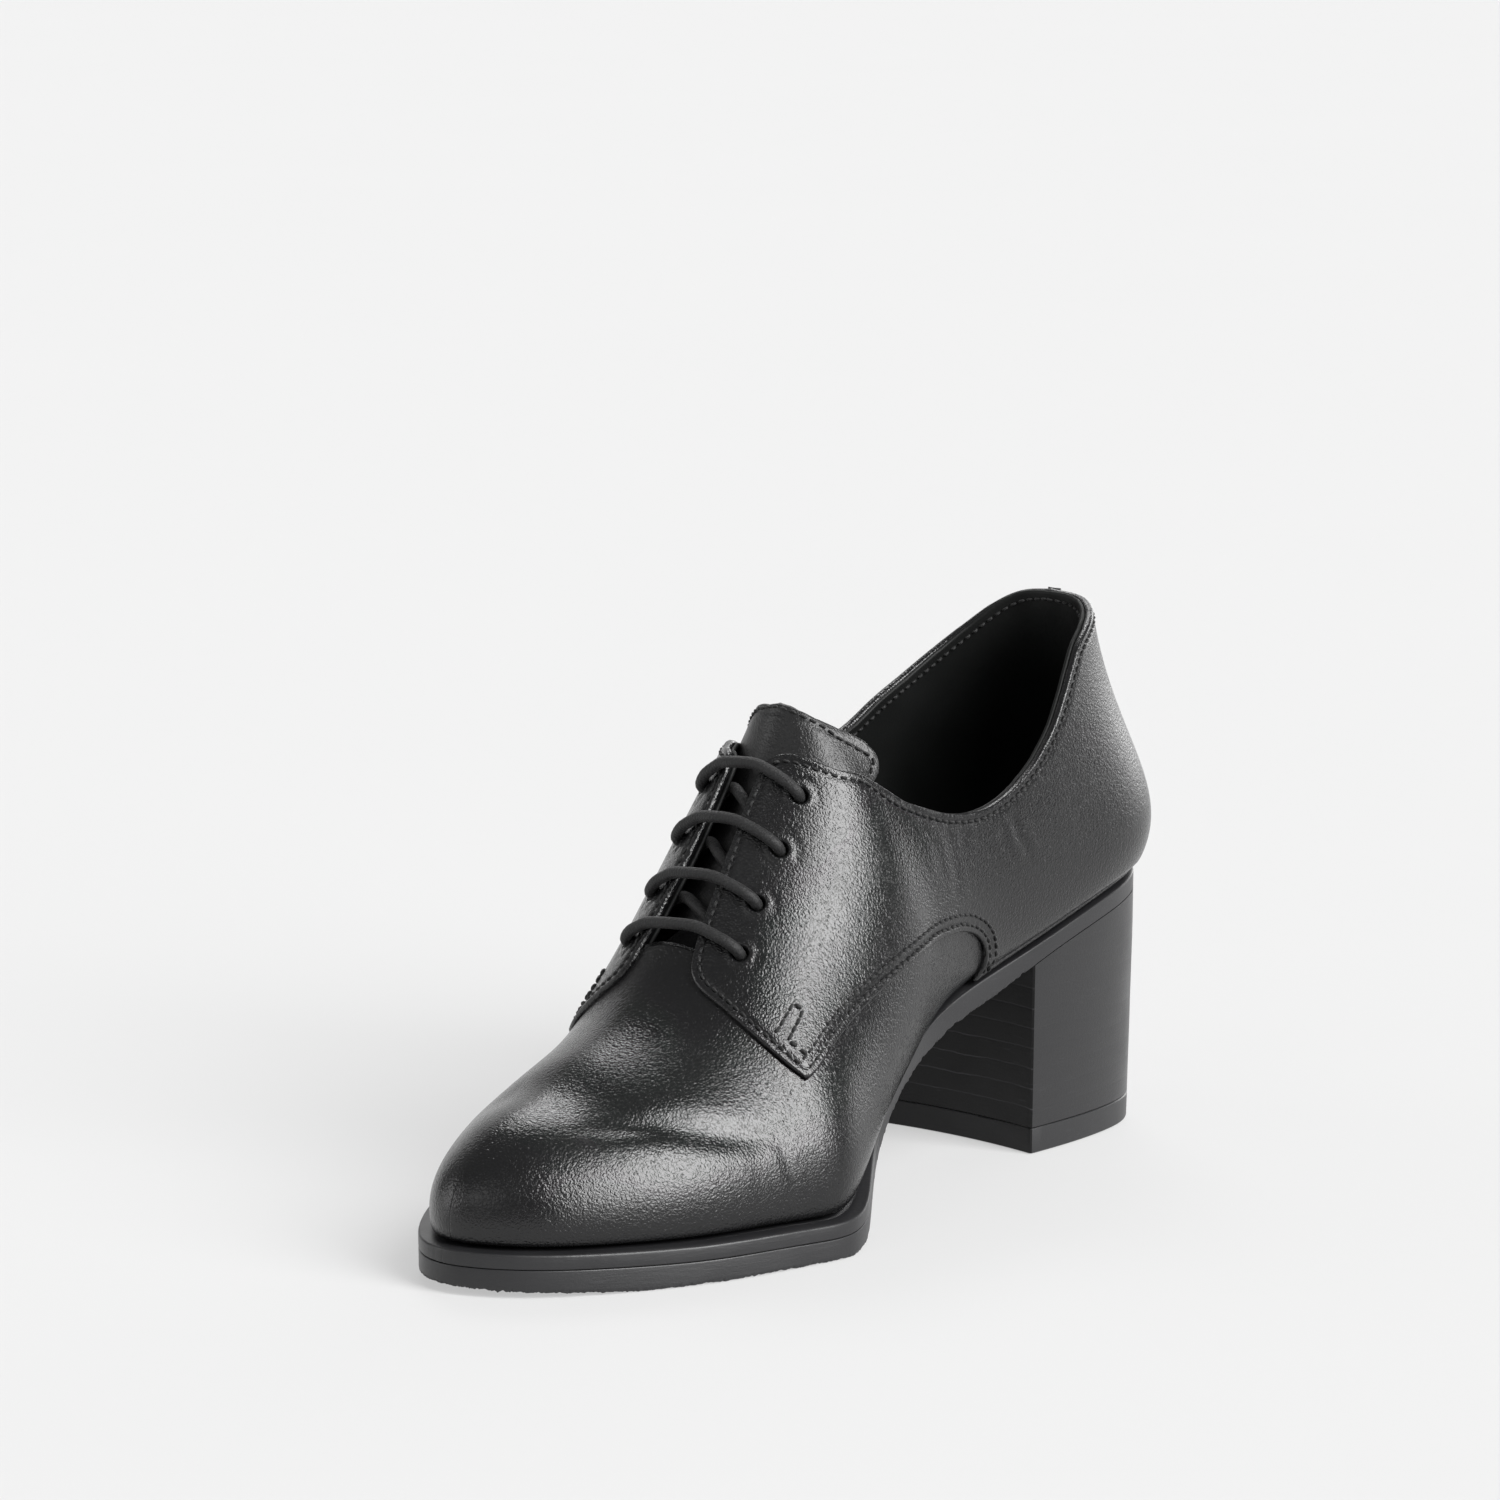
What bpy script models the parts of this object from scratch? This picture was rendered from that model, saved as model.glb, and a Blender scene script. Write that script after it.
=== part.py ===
"""Heeled derby shoe, right foot: hollow leather upper on a welted sole with a stacked block heel."""
import math
import bpy
import bmesh
import numpy as np
from mathutils import Vector

# ------------------------------------------------------------------ sizes, mm
MM = 0.001
SOLE_LENGTH = 241.5        # heel back to toe tip, along the foot
TOE_X = 1.5                # the toe tip lies this far to the inner side of the heel's axis
ORIGIN_X = 5.8             # middle of the finished shoe, across
ORIGIN_U = 117.58         # middle of the finished shoe, from the heel's back
GAP = 0.3                  # play between touching pieces

WALL = 1.8                 # vamp and lining
QUARTER_PROUD = 1.3        # quarters over the vamp
QUARTER_SUNK = 0.9         # depth that the quarter's solid runs into the wall
TONGUE_THICK = 1.6
TONGUE_DOWN = 2.2          # top of the tongue below the last surface
INSOLE_THICK = 2.5
INSOLE_INSET = 3.4
WELT_THICK = 3.5
WELT_END = 130.0           # rear end of the welt layer
HEEL_LENGTH = 60.0
BREAST_SAG = 2.6           # hollow of the heel breast
TOP_PIECE = 6.3            # rubber top piece of the heel
HEEL_TAPER = 0.975         # plan of the heel at the floor, against its top
EYELET_D = 3.4
LACE_D = 2.8

# Sole edge: u from the heel's back, distance of the inner and outer edge from the heel's axis
SOLE_OUTLINE = [
    # u, inner, outer
    (0, 0, 0), (5, 15.5, 15.5), (15, 24.5, 24.5), (30, 28.4, 28.4), (50, 28.9, 28.9),
    (70, 27.4, 29.0), (88, 26.2, 29.9), (104, 27.6, 32.0), (120, 32.2, 34.6), (134, 38.6, 37.0),
    (145, 46.0, 38.9), (152, 50.4, 39.9), (159, 52.6, 40.6), (168, 51.6, 40.9), (180, 48.6, 39.9),
    (195, 43.9, 36.9), (210, 36.6, 30.8), (222, 29.2, 23.0), (231, 22.0, 15.8), (238, 13.0, 8.4),
    (SOLE_LENGTH, TOE_X, -TOE_X),
]
# Height of the top of the sole, where the upper meets it
SEAT = [
    # u, z
    (0, 65), (14, 63), (35, 59), (57, 53), (75, 47.7), (90, 42.8), (105, 36.3), (120, 28.6),
    (134, 20.2), (146, 12.8), (156, 9.6), (175, 9.0), (200, 9.2), (220, 9.7), (SOLE_LENGTH, 10.4),
]
# Height of the tread; what comes out below the floor is the flat spot under the ball
TREAD = [
    # u, z
    (0, 60.3), (35, 54.4), (57, 48.2), (75, 41.5), (90, 36.6), (105, 30.2), (120, 22.2), (134, 12.6),
    (146, 4.0), (154, 0.7), (162, -0.3), (185, -0.8), (205, -0.3), (218, 0.3), (SOLE_LENGTH, 1.8),
]
# How far the upper's foot lies inside the sole edge
UPPER_INSET = [
    # u, inset
    (0, 1.0), (60, 0.8), (90, -0.5), (110, -2.2), (125, -2.0), (140, 0.5), (152, 3.0), (165, 4.0),
    (200, 4.0), (225, 3.2), (SOLE_LENGTH, 3.0),
]
# Last sections: each runs from the sole edge at u up to the top line, as a cubic with two handles
LAST = [
    # u, top_in, top_out, top_u, top_z, bulge_in, bulge_out, rise, fan_deg, reach_in, reach_out, drop
    (-10, -10.5, 10.5, 19.5, 138, 15, 15, 17, -132, 2, 2, 36),   # mirrored, so that the back runs level
    (0, 0, 0, 18, 138, 20, 20, 17, -90, 1, 1, 36),
    (10, 10.5, -10.5, 19.5, 138, 15, 15, 17, -48, 2, 2, 36),
    (25, 18, -18, 28, 137, 10, 10, 17, -18, 2, 2, 32),
    (45, 22.5, -22.5, 47, 134, 7, 7, 16, 0, 2, 2, 28),
    (62, 21.5, -21.5, 69, 131, 8, 7, 18, 4, 4, 4, 28),
    (78, 17.5, -17.5, 88, 129, 10, 8, 22, 8, 8, 7, 28),
    (92, 11, -10, 105, 127, 12, 9, 26, 10, 14, 12, 24),
    (104, 4, -2, 119, 124, 13, 10, 28, 5, 20, 16, 12),
    (112, 1, 1, 126, 119, 13, 10, 28, 0, 23, 16, 4),
    (122, 1, 1, 135, 107, 12, 10, 28, 0, 25, 16, 2),
    (133, 1, 1, 144.5, 93, 11, 9, 28, 0, 26, 16, 1),
    (145, 1, 1, 155, 78.5, 9, 8, 28, 0, 26, 16, 1),
    (158, 1.2, 1.2, 165.5, 64.5, 7, 6, 27, 0, 25, 16, 1),
    (172, 1.4, 1.4, 175.5, 54.8, 5, 3.5, 25, 0, 23, 13, 1),
    (188, 1.5, 1.5, 184.5, 49.2, 4.5, 2, 23, 8, 21, 11.5, .8),
    (204, 1.5, 1.5, 192.5, 46, 4.5, 1.5, 21, 22, 18, 11, .5),
    (220, 1.5, 1.5, 199, 43.4, 4.5, 2.5, 19, 45, 16, 12, .2),
    (232, 1.5, 1.5, 203.5, 41.6, 4.5, 4, 18, 70, 15, 13.5, 0),
    (SOLE_LENGTH, 1.5, 1.5, 208, 39.8, 4.5, 4.5, 18, 90, 13.5, 13.5, 0),
]
TOE_SLOPE = -0.4           # fall of the ridge towards the toe
RIDGE_START = (97, 111.6)  # the top line becomes the instep ridge between these
# Quarter, upper edge: collar, front corner and facing, as a share of the way up each section
QUARTER_TOP = {
    1: [  # u, share
        (0, .945), (10.5, .928), (22, .905), (30, .890), (35.9, .866), (40.5, .810), (44.9, .742), (49.5, .677),
        (55.5, .618), (63, .571), (70.3, .545), (77.3, .537), (85.1, .549), (92.3, .571), (99.2, .595),
        (105.2, .630), (114.7, .720), (118.2, .821), (119.2, .865), (120.8, .906), (122.9, .932), (129.5, .938),
        (144.4, .922), (153.2, .909), (159.2, .886), (161.7, .858), (163.1, .824), (163.9, .770), (164.6, .710)],
    -1: [
        (0, .945), (4.5, .940), (10.5, .924), (16.3, .895), (24.9, .837), (33.7, .780), (42.7, .728), (51.6, .691),
        (59.1, .651), (68, .625), (76, .612), (84, .612), (92.3, .630), (103, .675), (112.5, .735), (117.3, .790),
        (118.6, .830), (120.8, .875), (122.9, .900), (132.5, .905), (138.7, .900), (147.4, .875), (153.2, .855),
        (159.2, .825), (161.7, .800), (163.1, .770), (163.9, .730), (164.6, .690)],
}
# Quarter, lower edge: at the sole under the heel, a curl at the breast, then forward to the corner
QUARTER_LOW = [
    # u, share
    (0, .010), (79.9, .010), (80.7, .075), (82.4, .151), (85.6, .195), (91.5, .232), (99, .248), (110.9, .272),
    (121, .307), (129.4, .344), (137, .379), (144.4, .406), (150.3, .417), (157.4, .412), (160.7, .415),
    (162.3, .455), (163.3, .510), (164.0, .570), (164.6, .640),
]
VAMP_THROAT = 155.5        # the vamp closes over the instep ahead of this section
# Tongue: section at which its top edge lies, down each side, as a share of the way up
TONGUE_TOP = [
    # share, u
    (.630, 103.5), (.666, 99.5), (.708, 97.8), (.759, 98.9), (.802, 103.5), (.852, 107.9), (.942, 111.4), (1.0, 112.2),
]
TONGUE_FOOT = 172.0
EYELETS = [
    # u, share on the inner side, share on the outer side
    (152.1, .767, .715), (143.1, .784, .735), (133.3, .786, .750), (123.7, .792, .760),
]

BLACK_CALF = (0.012, 0.012, 0.013, 1.0)
BLACK_LINING = (0.010, 0.010, 0.011, 1.0)
BLACK_EDGE = (0.022, 0.022, 0.024, 1.0)
BLACK_CORD = (0.008, 0.008, 0.009, 1.0)


# ------------------------------------------------------------------ design functions, mm
def spline(rows, column=1, at=None):
    """Natural cubic spline through a table's first column and one other."""
    xs = np.array([r[0] for r in rows] if at is None else at, float)
    ys = np.array([r[column] for r in rows], float)
    n, h = len(xs), np.diff(xs)
    a, r = np.eye(n), np.zeros(n)
    for i in range(1, n - 1):
        a[i, i - 1:i + 2] = h[i - 1], 2 * (h[i - 1] + h[i]), h[i]
        r[i] = 6 * ((ys[i + 1] - ys[i]) / h[i] - (ys[i] - ys[i - 1]) / h[i - 1])
    m = np.linalg.solve(a, r)

    def value(x):
        i = int(min(max(np.searchsorted(xs, x) - 1, 0), n - 2))
        t, w = x - xs[i], h[i]
        slope = (ys[i + 1] - ys[i]) / w - w * (2 * m[i] + m[i + 1]) / 6
        return ((m[i + 1] - m[i]) / (6 * w) * t + m[i] / 2) * t * t + slope * t + ys[i]
    return value


def steps(rows):
    """Straight lines through a table's two columns."""
    xs, ys = [r[0] for r in rows], [r[1] for r in rows]
    return lambda x: float(np.interp(x, xs, ys))


def turn(u):
    """Angle that runs evenly round both ends of the sole."""
    return math.copysign(math.acos(min(max(1 - 2 * abs(u) / SOLE_LENGTH, -1), 1)), u)


def along(phi):
    return SOLE_LENGTH * (1 - math.cos(phi)) / 2


_turns = [turn(r[0]) for r in SOLE_OUTLINE]
_edge = {1: spline(SOLE_OUTLINE, 1, _turns), -1: spline([(r[0], r[1], -r[2]) for r in SOLE_OUTLINE], 2, _turns)}
seat = spline(SEAT)
tread_line = spline(TREAD)
upper_inset = spline(UPPER_INSET)
_rows = [turn(r[0]) for r in LAST]
_last = [spline(LAST, c, _rows) for c in range(1, 12)]


def tread(u):
    return max(0.0, tread_line(u))


def sole_edge(side, phi):
    return _edge[side](phi), along(phi)


def edge_normal(side, phi):
    e = 1e-3
    x0, u0 = sole_edge(side, max(phi - e, 0))
    x1, u1 = sole_edge(side, min(phi + e, math.pi))
    length = math.hypot(x1 - x0, u1 - u0)
    return side * (u1 - u0) / length, -side * (x1 - x0) / length


def inside_edge(side, phi, inset):
    x, u = sole_edge(side, phi)
    nx, nu = edge_normal(side, phi)
    return x - nx * inset, u - nu * inset


def last_point(side, phi, share):
    """Point of the last on the section at phi: share 0 at the sole, 1 on the top line."""
    x, u = sole_edge(side, phi)
    nx, nu = edge_normal(side, phi)
    inset = upper_inset(u)
    foot = np.array([x - nx * inset, u - nu * inset, seat(u) + GAP])
    top_in, top_out, top_u, top_z, bulge_in, bulge_out, rise, fan, reach_in, reach_out, drop = [f(phi) for f in _last]
    ridge = min(max((phi - turn(RIDGE_START[0])) / (turn(RIDGE_START[1]) - turn(RIDGE_START[0])), 0), 1)
    ridge = ridge * ridge * (3 - 2 * ridge)
    bulge, reach = (bulge_in, reach_in) if side > 0 else (bulge_out, reach_out)
    mx, mu = side * math.cos(math.radians(fan)), math.sin(math.radians(fan))
    middle = (top_in + top_out) / 2
    top = np.array([middle + side * (top_in - top_out) / 2 * (1 - ridge), top_u, top_z])
    low = foot + np.array([bulge * nx, bulge * nu, rise])
    high = top + np.array([reach * mx, reach * mu, reach * mu * TOE_SLOPE * ridge - drop])
    s = share
    return (1 - s) ** 3 * foot + 3 * (1 - s) ** 2 * s * low + 3 * (1 - s) * s * s * high + s ** 3 * top


def last_normal(side, phi, share):
    e = 2e-3
    phi = min(max(phi, 2 * e), math.pi - 2 * e)
    lo, hi = max(share - e, 0.0), min(share + e, 1.0)
    a = last_point(side, phi + e, share) - last_point(side, phi - e, share)
    b = last_point(side, phi, hi) - last_point(side, phi, lo)
    n = np.cross(a, b) * side
    return n / np.linalg.norm(n)


def shell_point(side, u, share, out=0.0):
    """Point at a height out above the last, in mm."""
    phi = turn(u)
    p = last_point(side, phi, share)
    if out:
        n = last_normal(side, phi, share)
        if share >= 1:
            n = n + last_normal(-side, phi, share)
        if u <= 0 or u >= SOLE_LENGTH:
            n[0] = 0.0
        n = n / np.linalg.norm(n)
        p = p + out * n
    if u <= 0:
        p[0] = 0.0
    return p


def place(p):
    """Design point (x, u, z) in mm to the row's frame in metres."""
    return Vector(((p[0] - ORIGIN_X) * MM, (ORIGIN_U - p[1]) * MM, p[2] * MM))


# ------------------------------------------------------------------ scene
for thing in list(bpy.data.objects):
    bpy.data.objects.remove(thing, do_unlink=True)

parts = bpy.data.collections.new("heeled_derby_shoe")
cutters = bpy.data.collections.new("cutters")
bpy.context.scene.collection.children.link(parts)
bpy.context.scene.collection.children.link(cutters)
root = bpy.data.objects.new("shoe_origin", None)
parts.objects.link(root)


def material(name, colour, roughness, metallic=0.0):
    m = bpy.data.materials.new(name)
    m.use_nodes = True
    shader = m.node_tree.nodes["Principled BSDF"]
    shader.inputs["Base Color"].default_value = colour
    shader.inputs["Roughness"].default_value = roughness
    shader.inputs["Metallic"].default_value = metallic
    return m


def add(name, bm, mat, collection=parts):
    mesh = bpy.data.meshes.new(name)
    bm.to_mesh(mesh)
    bm.free()
    thing = bpy.data.objects.new(name, mesh)
    mesh.materials.append(mat)
    collection.objects.link(thing)
    if collection is parts:
        thing.parent = root
    else:
        thing.hide_render = True
        thing.display_type = "WIRE"
    return thing


def solidify(thing, thick):
    mod = thing.modifiers.new("wall", "SOLIDIFY")
    mod.thickness = thick * MM
    mod.offset = -1.0
    mod.use_even_offset = True
    mod.use_quality_normals = True
    return mod


def boolean(thing, other, operation):
    mod = thing.modifiers.new(operation.lower(), "BOOLEAN")
    mod.operation = operation
    mod.solver = "EXACT"
    mod.object = other
    return mod


def sheet(strips):
    """Quads between neighbouring strips of points; a strip may be longer than its neighbour."""
    bm = bmesh.new()
    rows = [[bm.verts.new(place(p)) for p in strip] for strip in strips]
    for a, b in zip(rows, rows[1:]):
        for j in range(min(len(a), len(b)) - 1):
            bm.faces.new((a[j], a[j + 1], b[j + 1], b[j]))
    bmesh.ops.remove_doubles(bm, verts=bm.verts, dist=0.00002)
    bmesh.ops.dissolve_degenerate(bm, dist=0.00001, edges=bm.edges)
    return bm


def join_sides(left, right):
    """One sheet out of an inner and an outer half, welded where they meet."""
    mesh = bpy.data.meshes.new("half")
    right.to_mesh(mesh)
    right.free()
    left.from_mesh(mesh)
    bpy.data.meshes.remove(mesh)
    bmesh.ops.remove_doubles(left, verts=left.verts, dist=0.00005)
    return left


def outward(bm, inside):
    """Face the sheet away from a point inside it."""
    bmesh.ops.recalc_face_normals(bm, faces=bm.faces)
    centre = place(inside)
    votes = sum((f.calc_center_median() - centre).dot(f.normal) * f.calc_area() for f in bm.faces)
    if votes < 0:
        bmesh.ops.reverse_faces(bm, faces=bm.faces)


calf = material("calf", BLACK_CALF, 0.38)
lining_leather = material("tongue_calf", BLACK_CALF, 0.42)
insole_leather = material("insole_leather", BLACK_LINING, 0.55)
welt_leather = material("welt_leather", BLACK_EDGE, 0.5)
sole_leather = material("sole_leather", BLACK_EDGE, 0.5)
heel_leather = material("heel_leather", BLACK_EDGE, 0.48)
rubber = material("top_piece_rubber", BLACK_EDGE, 0.6)
cord = material("lace_cord", BLACK_CORD, 0.5)

# ------------------------------------------------------------------ upper
quarter_top = {s: steps(QUARTER_TOP[s]) for s in (1, -1)}
quarter_low = steps(QUARTER_LOW)
WALL_ROWS, RIDGE_ROWS = 9, 3
quarter_columns = [0, 1.5, 4, 8, 13, 19, 26, 33.7, 40.5, 46, 51.6, 57, 63, 70.3, 77.3, 79.9, 80.7, 82.4, 85.6, 91.5, 99,
                   105.2, 110.9, 114.7, 117.3, 118.4, 119.4, 120.8, 122.9, 129.5, 137, 144.4, 150.3, VAMP_THROAT,
                   159.2, 161.7, 163.1, 163.9, 164.6]
wall_columns = ([u for u in quarter_columns if u not in (80.7, 163.1, 163.9)]
                + [along(math.pi * k / 40) for k in range(25, 41)])


def wall_top(side, u):
    """Upper edge of the vamp and lining, a little below the quarter's own edge."""
    if u < VAMP_THROAT:
        return quarter_top[side](u) - 0.012
    start = quarter_top[side](153.2) - 0.012
    blend = min((u - VAMP_THROAT) / 40, 1)
    return start + (0.86 - start) * blend


def wall_half(side):
    strips = []
    for u in wall_columns:
        top = wall_top(side, u)
        shares = [top * (j / WALL_ROWS) for j in range(WALL_ROWS + 1)]
        if u >= VAMP_THROAT:
            shares += [top + (1 - top) * (k / RIDGE_ROWS) for k in range(1, RIDGE_ROWS + 1)]
        strips.append([shell_point(side, u, s) for s in shares])
    return sheet(strips)


wall = join_sides(wall_half(1), wall_half(-1))
outward(wall, (0, 110, 45))
upper = add("upper", wall, calf)
solidify(upper, WALL)


def quarter_half(side):
    strips = []
    for u in quarter_columns:
        low, top = quarter_low(u), quarter_top[side](u)
        strips.append([shell_point(side, u, low + (top - low) * j / WALL_ROWS, QUARTER_PROUD)
                       for j in range(WALL_ROWS + 1)])
    return sheet(strips)


quarters = join_sides(quarter_half(1), quarter_half(-1))
outward(quarters, (0, 80, 75))
quarters = add("quarters", quarters, calf, cutters)
solidify(quarters, QUARTER_PROUD + QUARTER_SUNK)
boolean(upper, quarters, "UNION")

punch = bmesh.new()
for u, inner, outer in EYELETS:
    for side, share in ((1, inner), (-1, outer)):
        centre = place(shell_point(side, u, share))
        n = last_normal(side, turn(u), share)
        axis = Vector((n[0], -n[1], n[2]))
        turned = axis.to_track_quat("Z", "Y").to_matrix().to_4x4()
        turned.translation = centre
        bmesh.ops.create_cone(punch, cap_ends=True, segments=12, radius1=EYELET_D / 2 * MM,
                              radius2=EYELET_D / 2 * MM, depth=8 * MM, matrix=turned)
punch = add("eyelet_punch", punch, calf, cutters)
boolean(upper, punch, "DIFFERENCE")
weld = upper.modifiers.new("weld", "WELD")
weld.merge_threshold = 0.00002
upper.modifiers.new("facets", "TRIANGULATE")

# ------------------------------------------------------------------ tongue
tongue_top = spline([(s, u) for s, u in TONGUE_TOP])
TONGUE_SHARES = [.63, .648, .666, .687, .708, .735, .759, .802, .852, .90, .95, 1.0]
TONGUE_STEPS = 12


def tongue_half(side):
    strips = []
    for s in TONGUE_SHARES:
        first = tongue_top(s)
        strips.append([shell_point(side, first + (TONGUE_FOOT - first) * k / TONGUE_STEPS, s, -TONGUE_DOWN)
                       for k in range(TONGUE_STEPS + 1)])
    return sheet(strips)


tongue = join_sides(tongue_half(1), tongue_half(-1))
outward(tongue, (0, 110, 60))
tongue = add("tongue", tongue, lining_leather)
solidify(tongue, TONGUE_THICK)


# ------------------------------------------------------------------ sole plates
def plate(sections):
    """Closed plate out of sections (inner point, outer point, top z, bottom z); ends may be single points."""
    bm = bmesh.new()
    rings = []
    for (xi, ui), (xo, uo), top, low in sections:
        rings.append([bm.verts.new(place(p)) for p in
                      ((xi, ui, top(ui)), (xo, uo, top(uo)), (xo, uo, low(uo)), (xi, ui, low(ui)))])
    for a, b in zip(rings, rings[1:]):
        for j in range(4):
            k = (j + 1) % 4
            bm.faces.new((a[j], a[k], b[k], b[j]))
    bm.faces.new(rings[0])
    bm.faces.new(list(reversed(rings[-1])))
    bmesh.ops.remove_doubles(bm, verts=bm.verts, dist=0.00003)
    bmesh.ops.dissolve_degenerate(bm, dist=0.00002, edges=bm.edges)
    bmesh.ops.recalc_face_normals(bm, faces=bm.faces)
    return bm


def plate_sections(us, inset, top, low):
    out = []
    for u in us:
        phi = turn(u)
        if inset:
            inner, outer = inside_edge(1, phi, inset(u)), inside_edge(-1, phi, inset(u))
        else:
            inner, outer = sole_edge(1, phi), sole_edge(-1, phi)
        if u <= 0 or u >= SOLE_LENGTH:
            middle = (inner[0] + outer[0]) / 2, (inner[1] + outer[1]) / 2
            inner = outer = middle
        out.append((inner, outer, top, low))
    return out


round_the_foot = [along(math.pi * k / 60) for k in range(61)]


def welt_top(u):
    return seat(u) - GAP


def welt_low(u):
    return seat(u) - GAP - WELT_THICK


forefoot = [WELT_END + GAP] + [u for u in round_the_foot if u > WELT_END + 2]
welt = add("welt", plate(plate_sections(forefoot, None, welt_top, welt_low)), welt_leather)

rear = [u for u in round_the_foot if u < WELT_END - 2] + [WELT_END]
front = [WELT_END + 0.05] + [u for u in round_the_foot if u > WELT_END + 2]
outsole_sections = (plate_sections(rear, None, welt_top, tread)
                    + plate_sections(front, None, lambda u: welt_low(u) - GAP, tread))
outsole = add("outsole", plate(outsole_sections), sole_leather)

insole_shape = plate_sections([u for u in round_the_foot], lambda u: upper_inset(u) + INSOLE_INSET,
                              lambda u: seat(u) + INSOLE_THICK, lambda u: seat(u) + 0.1)
insole = add("insole", plate(insole_shape), insole_leather)


# ------------------------------------------------------------------ heel
def heel_block(low_z, top_of):
    """Block on the heel's D plan with a hollow breast, between a floor height and a top function."""
    rows, across = 13, 8
    bm = bmesh.new()
    layers = []
    for level in (0, 1):
        grid = []
        for k in range(rows + 1):
            phi = turn(HEEL_LENGTH) * k / rows
            u = along(phi)
            w = _edge[1](phi)
            line = []
            for j in range(across + 1):
                x = w * (2 * j / across - 1)
                hollow = BREAST_SAG * (1 - (x / w) ** 2 if w > 0 else 0) * (u / HEEL_LENGTH) ** 3
                uu = u - hollow
                z = top_of(uu) if level else low_z
                share = HEEL_TAPER + (1 - HEEL_TAPER) * min(z / 50.0, 1)
                line.append(bm.verts.new(place((x * (0.98 + 0.02 * min(z / 50.0, 1)),
                                                HEEL_LENGTH + (uu - HEEL_LENGTH) * share, z))))
            grid.append(line)
        layers.append(grid)
    low, top = layers
    for k in range(rows):
        for j in range(across):
            bm.faces.new((top[k][j], top[k][j + 1], top[k + 1][j + 1], top[k + 1][j]))
            bm.faces.new((low[k][j], low[k + 1][j], low[k + 1][j + 1], low[k][j + 1]))
        for j in (0, across):
            bm.faces.new((low[k][j], low[k + 1][j], top[k + 1][j], top[k][j]))
    for j in range(across):
        bm.faces.new((low[rows][j], low[rows][j + 1], top[rows][j + 1], top[rows][j]))
    bmesh.ops.remove_doubles(bm, verts=bm.verts, dist=0.00003)
    bmesh.ops.dissolve_degenerate(bm, dist=0.00002, edges=bm.edges)
    bmesh.ops.recalc_face_normals(bm, faces=bm.faces)
    return bm


heel = add("heel", heel_block(TOP_PIECE + GAP, lambda u: tread(u) - GAP), heel_leather)
heel_top_piece = add("heel_top_piece", heel_block(0.0, lambda u: TOP_PIECE), rubber)

# ------------------------------------------------------------------ lace bars
LACE_UP = QUARTER_PROUD + GAP + LACE_D / 2 + 0.15
for number, (u, inner, outer) in enumerate(EYELETS, 1):
    over_in, over_out = quarter_top[1](u) + 0.01, quarter_top[-1](u) + 0.01
    stops = ([(1, inner + (over_in - inner) * k / 4) for k in range(5)]
             + [(-1, outer + (over_out - outer) * k / 4) for k in range(4, -1, -1)])
    curve = bpy.data.curves.new(f"lace_bar_{number}", "CURVE")
    curve.dimensions = "3D"
    curve.resolution_u = 2
    curve.bevel_depth = LACE_D / 2 * MM
    curve.bevel_resolution = 2
    curve.use_fill_caps = True
    line = curve.splines.new("POLY")
    line.points.add(len(stops) - 1)
    for point, (side, share) in zip(line.points, stops):
        point.co = (*place(shell_point(side, u, share, LACE_UP)), 1.0)
    curve.materials.append(cord)
    bar = bpy.data.objects.new(f"lace_bar_{number}", curve)
    bar.parent = root
    parts.objects.link(bar)
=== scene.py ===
import math
import bpy
import bmesh
import numpy as np
from mathutils import Matrix, Vector
from mathutils.bvhtree import BVHTree
from mathutils.geometry import delaunay_2d_cdt
from mathutils.kdtree import KDTree


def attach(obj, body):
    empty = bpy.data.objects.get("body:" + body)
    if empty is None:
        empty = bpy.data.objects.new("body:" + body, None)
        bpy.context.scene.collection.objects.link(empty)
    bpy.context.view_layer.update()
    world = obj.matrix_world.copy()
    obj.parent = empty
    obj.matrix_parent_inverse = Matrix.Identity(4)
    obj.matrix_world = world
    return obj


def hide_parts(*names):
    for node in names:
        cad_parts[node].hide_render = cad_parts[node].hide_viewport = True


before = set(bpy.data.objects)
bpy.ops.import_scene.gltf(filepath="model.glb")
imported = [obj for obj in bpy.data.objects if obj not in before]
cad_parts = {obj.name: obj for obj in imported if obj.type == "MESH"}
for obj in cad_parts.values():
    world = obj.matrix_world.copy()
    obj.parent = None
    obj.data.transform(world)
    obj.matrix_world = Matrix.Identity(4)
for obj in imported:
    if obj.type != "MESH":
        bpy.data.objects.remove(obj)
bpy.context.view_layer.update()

# ------------------------------------------------------------------ sizes, mm (the part's own)
MM = 0.001
SOLE_LENGTH = 241.5
TOE_X = 1.5
ORIGIN_X = 5.8
ORIGIN_U = 117.58
GAP = 0.3
QUARTER_PROUD = 1.3
LINING_LOW = -1.9          # inner face of the lining, below the last
WELT_THICK = 3.5
WELT_END = 130.0
INSOLE_THICK = 2.5
INSOLE_INSET = 3.4
HEEL_LENGTH = 60.0
BREAST_SAG = 2.6
TOP_PIECE = 6.3
HEEL_TAPER = 0.975
EYELET_R = 1.75
LACE_R = 1.4

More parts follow.
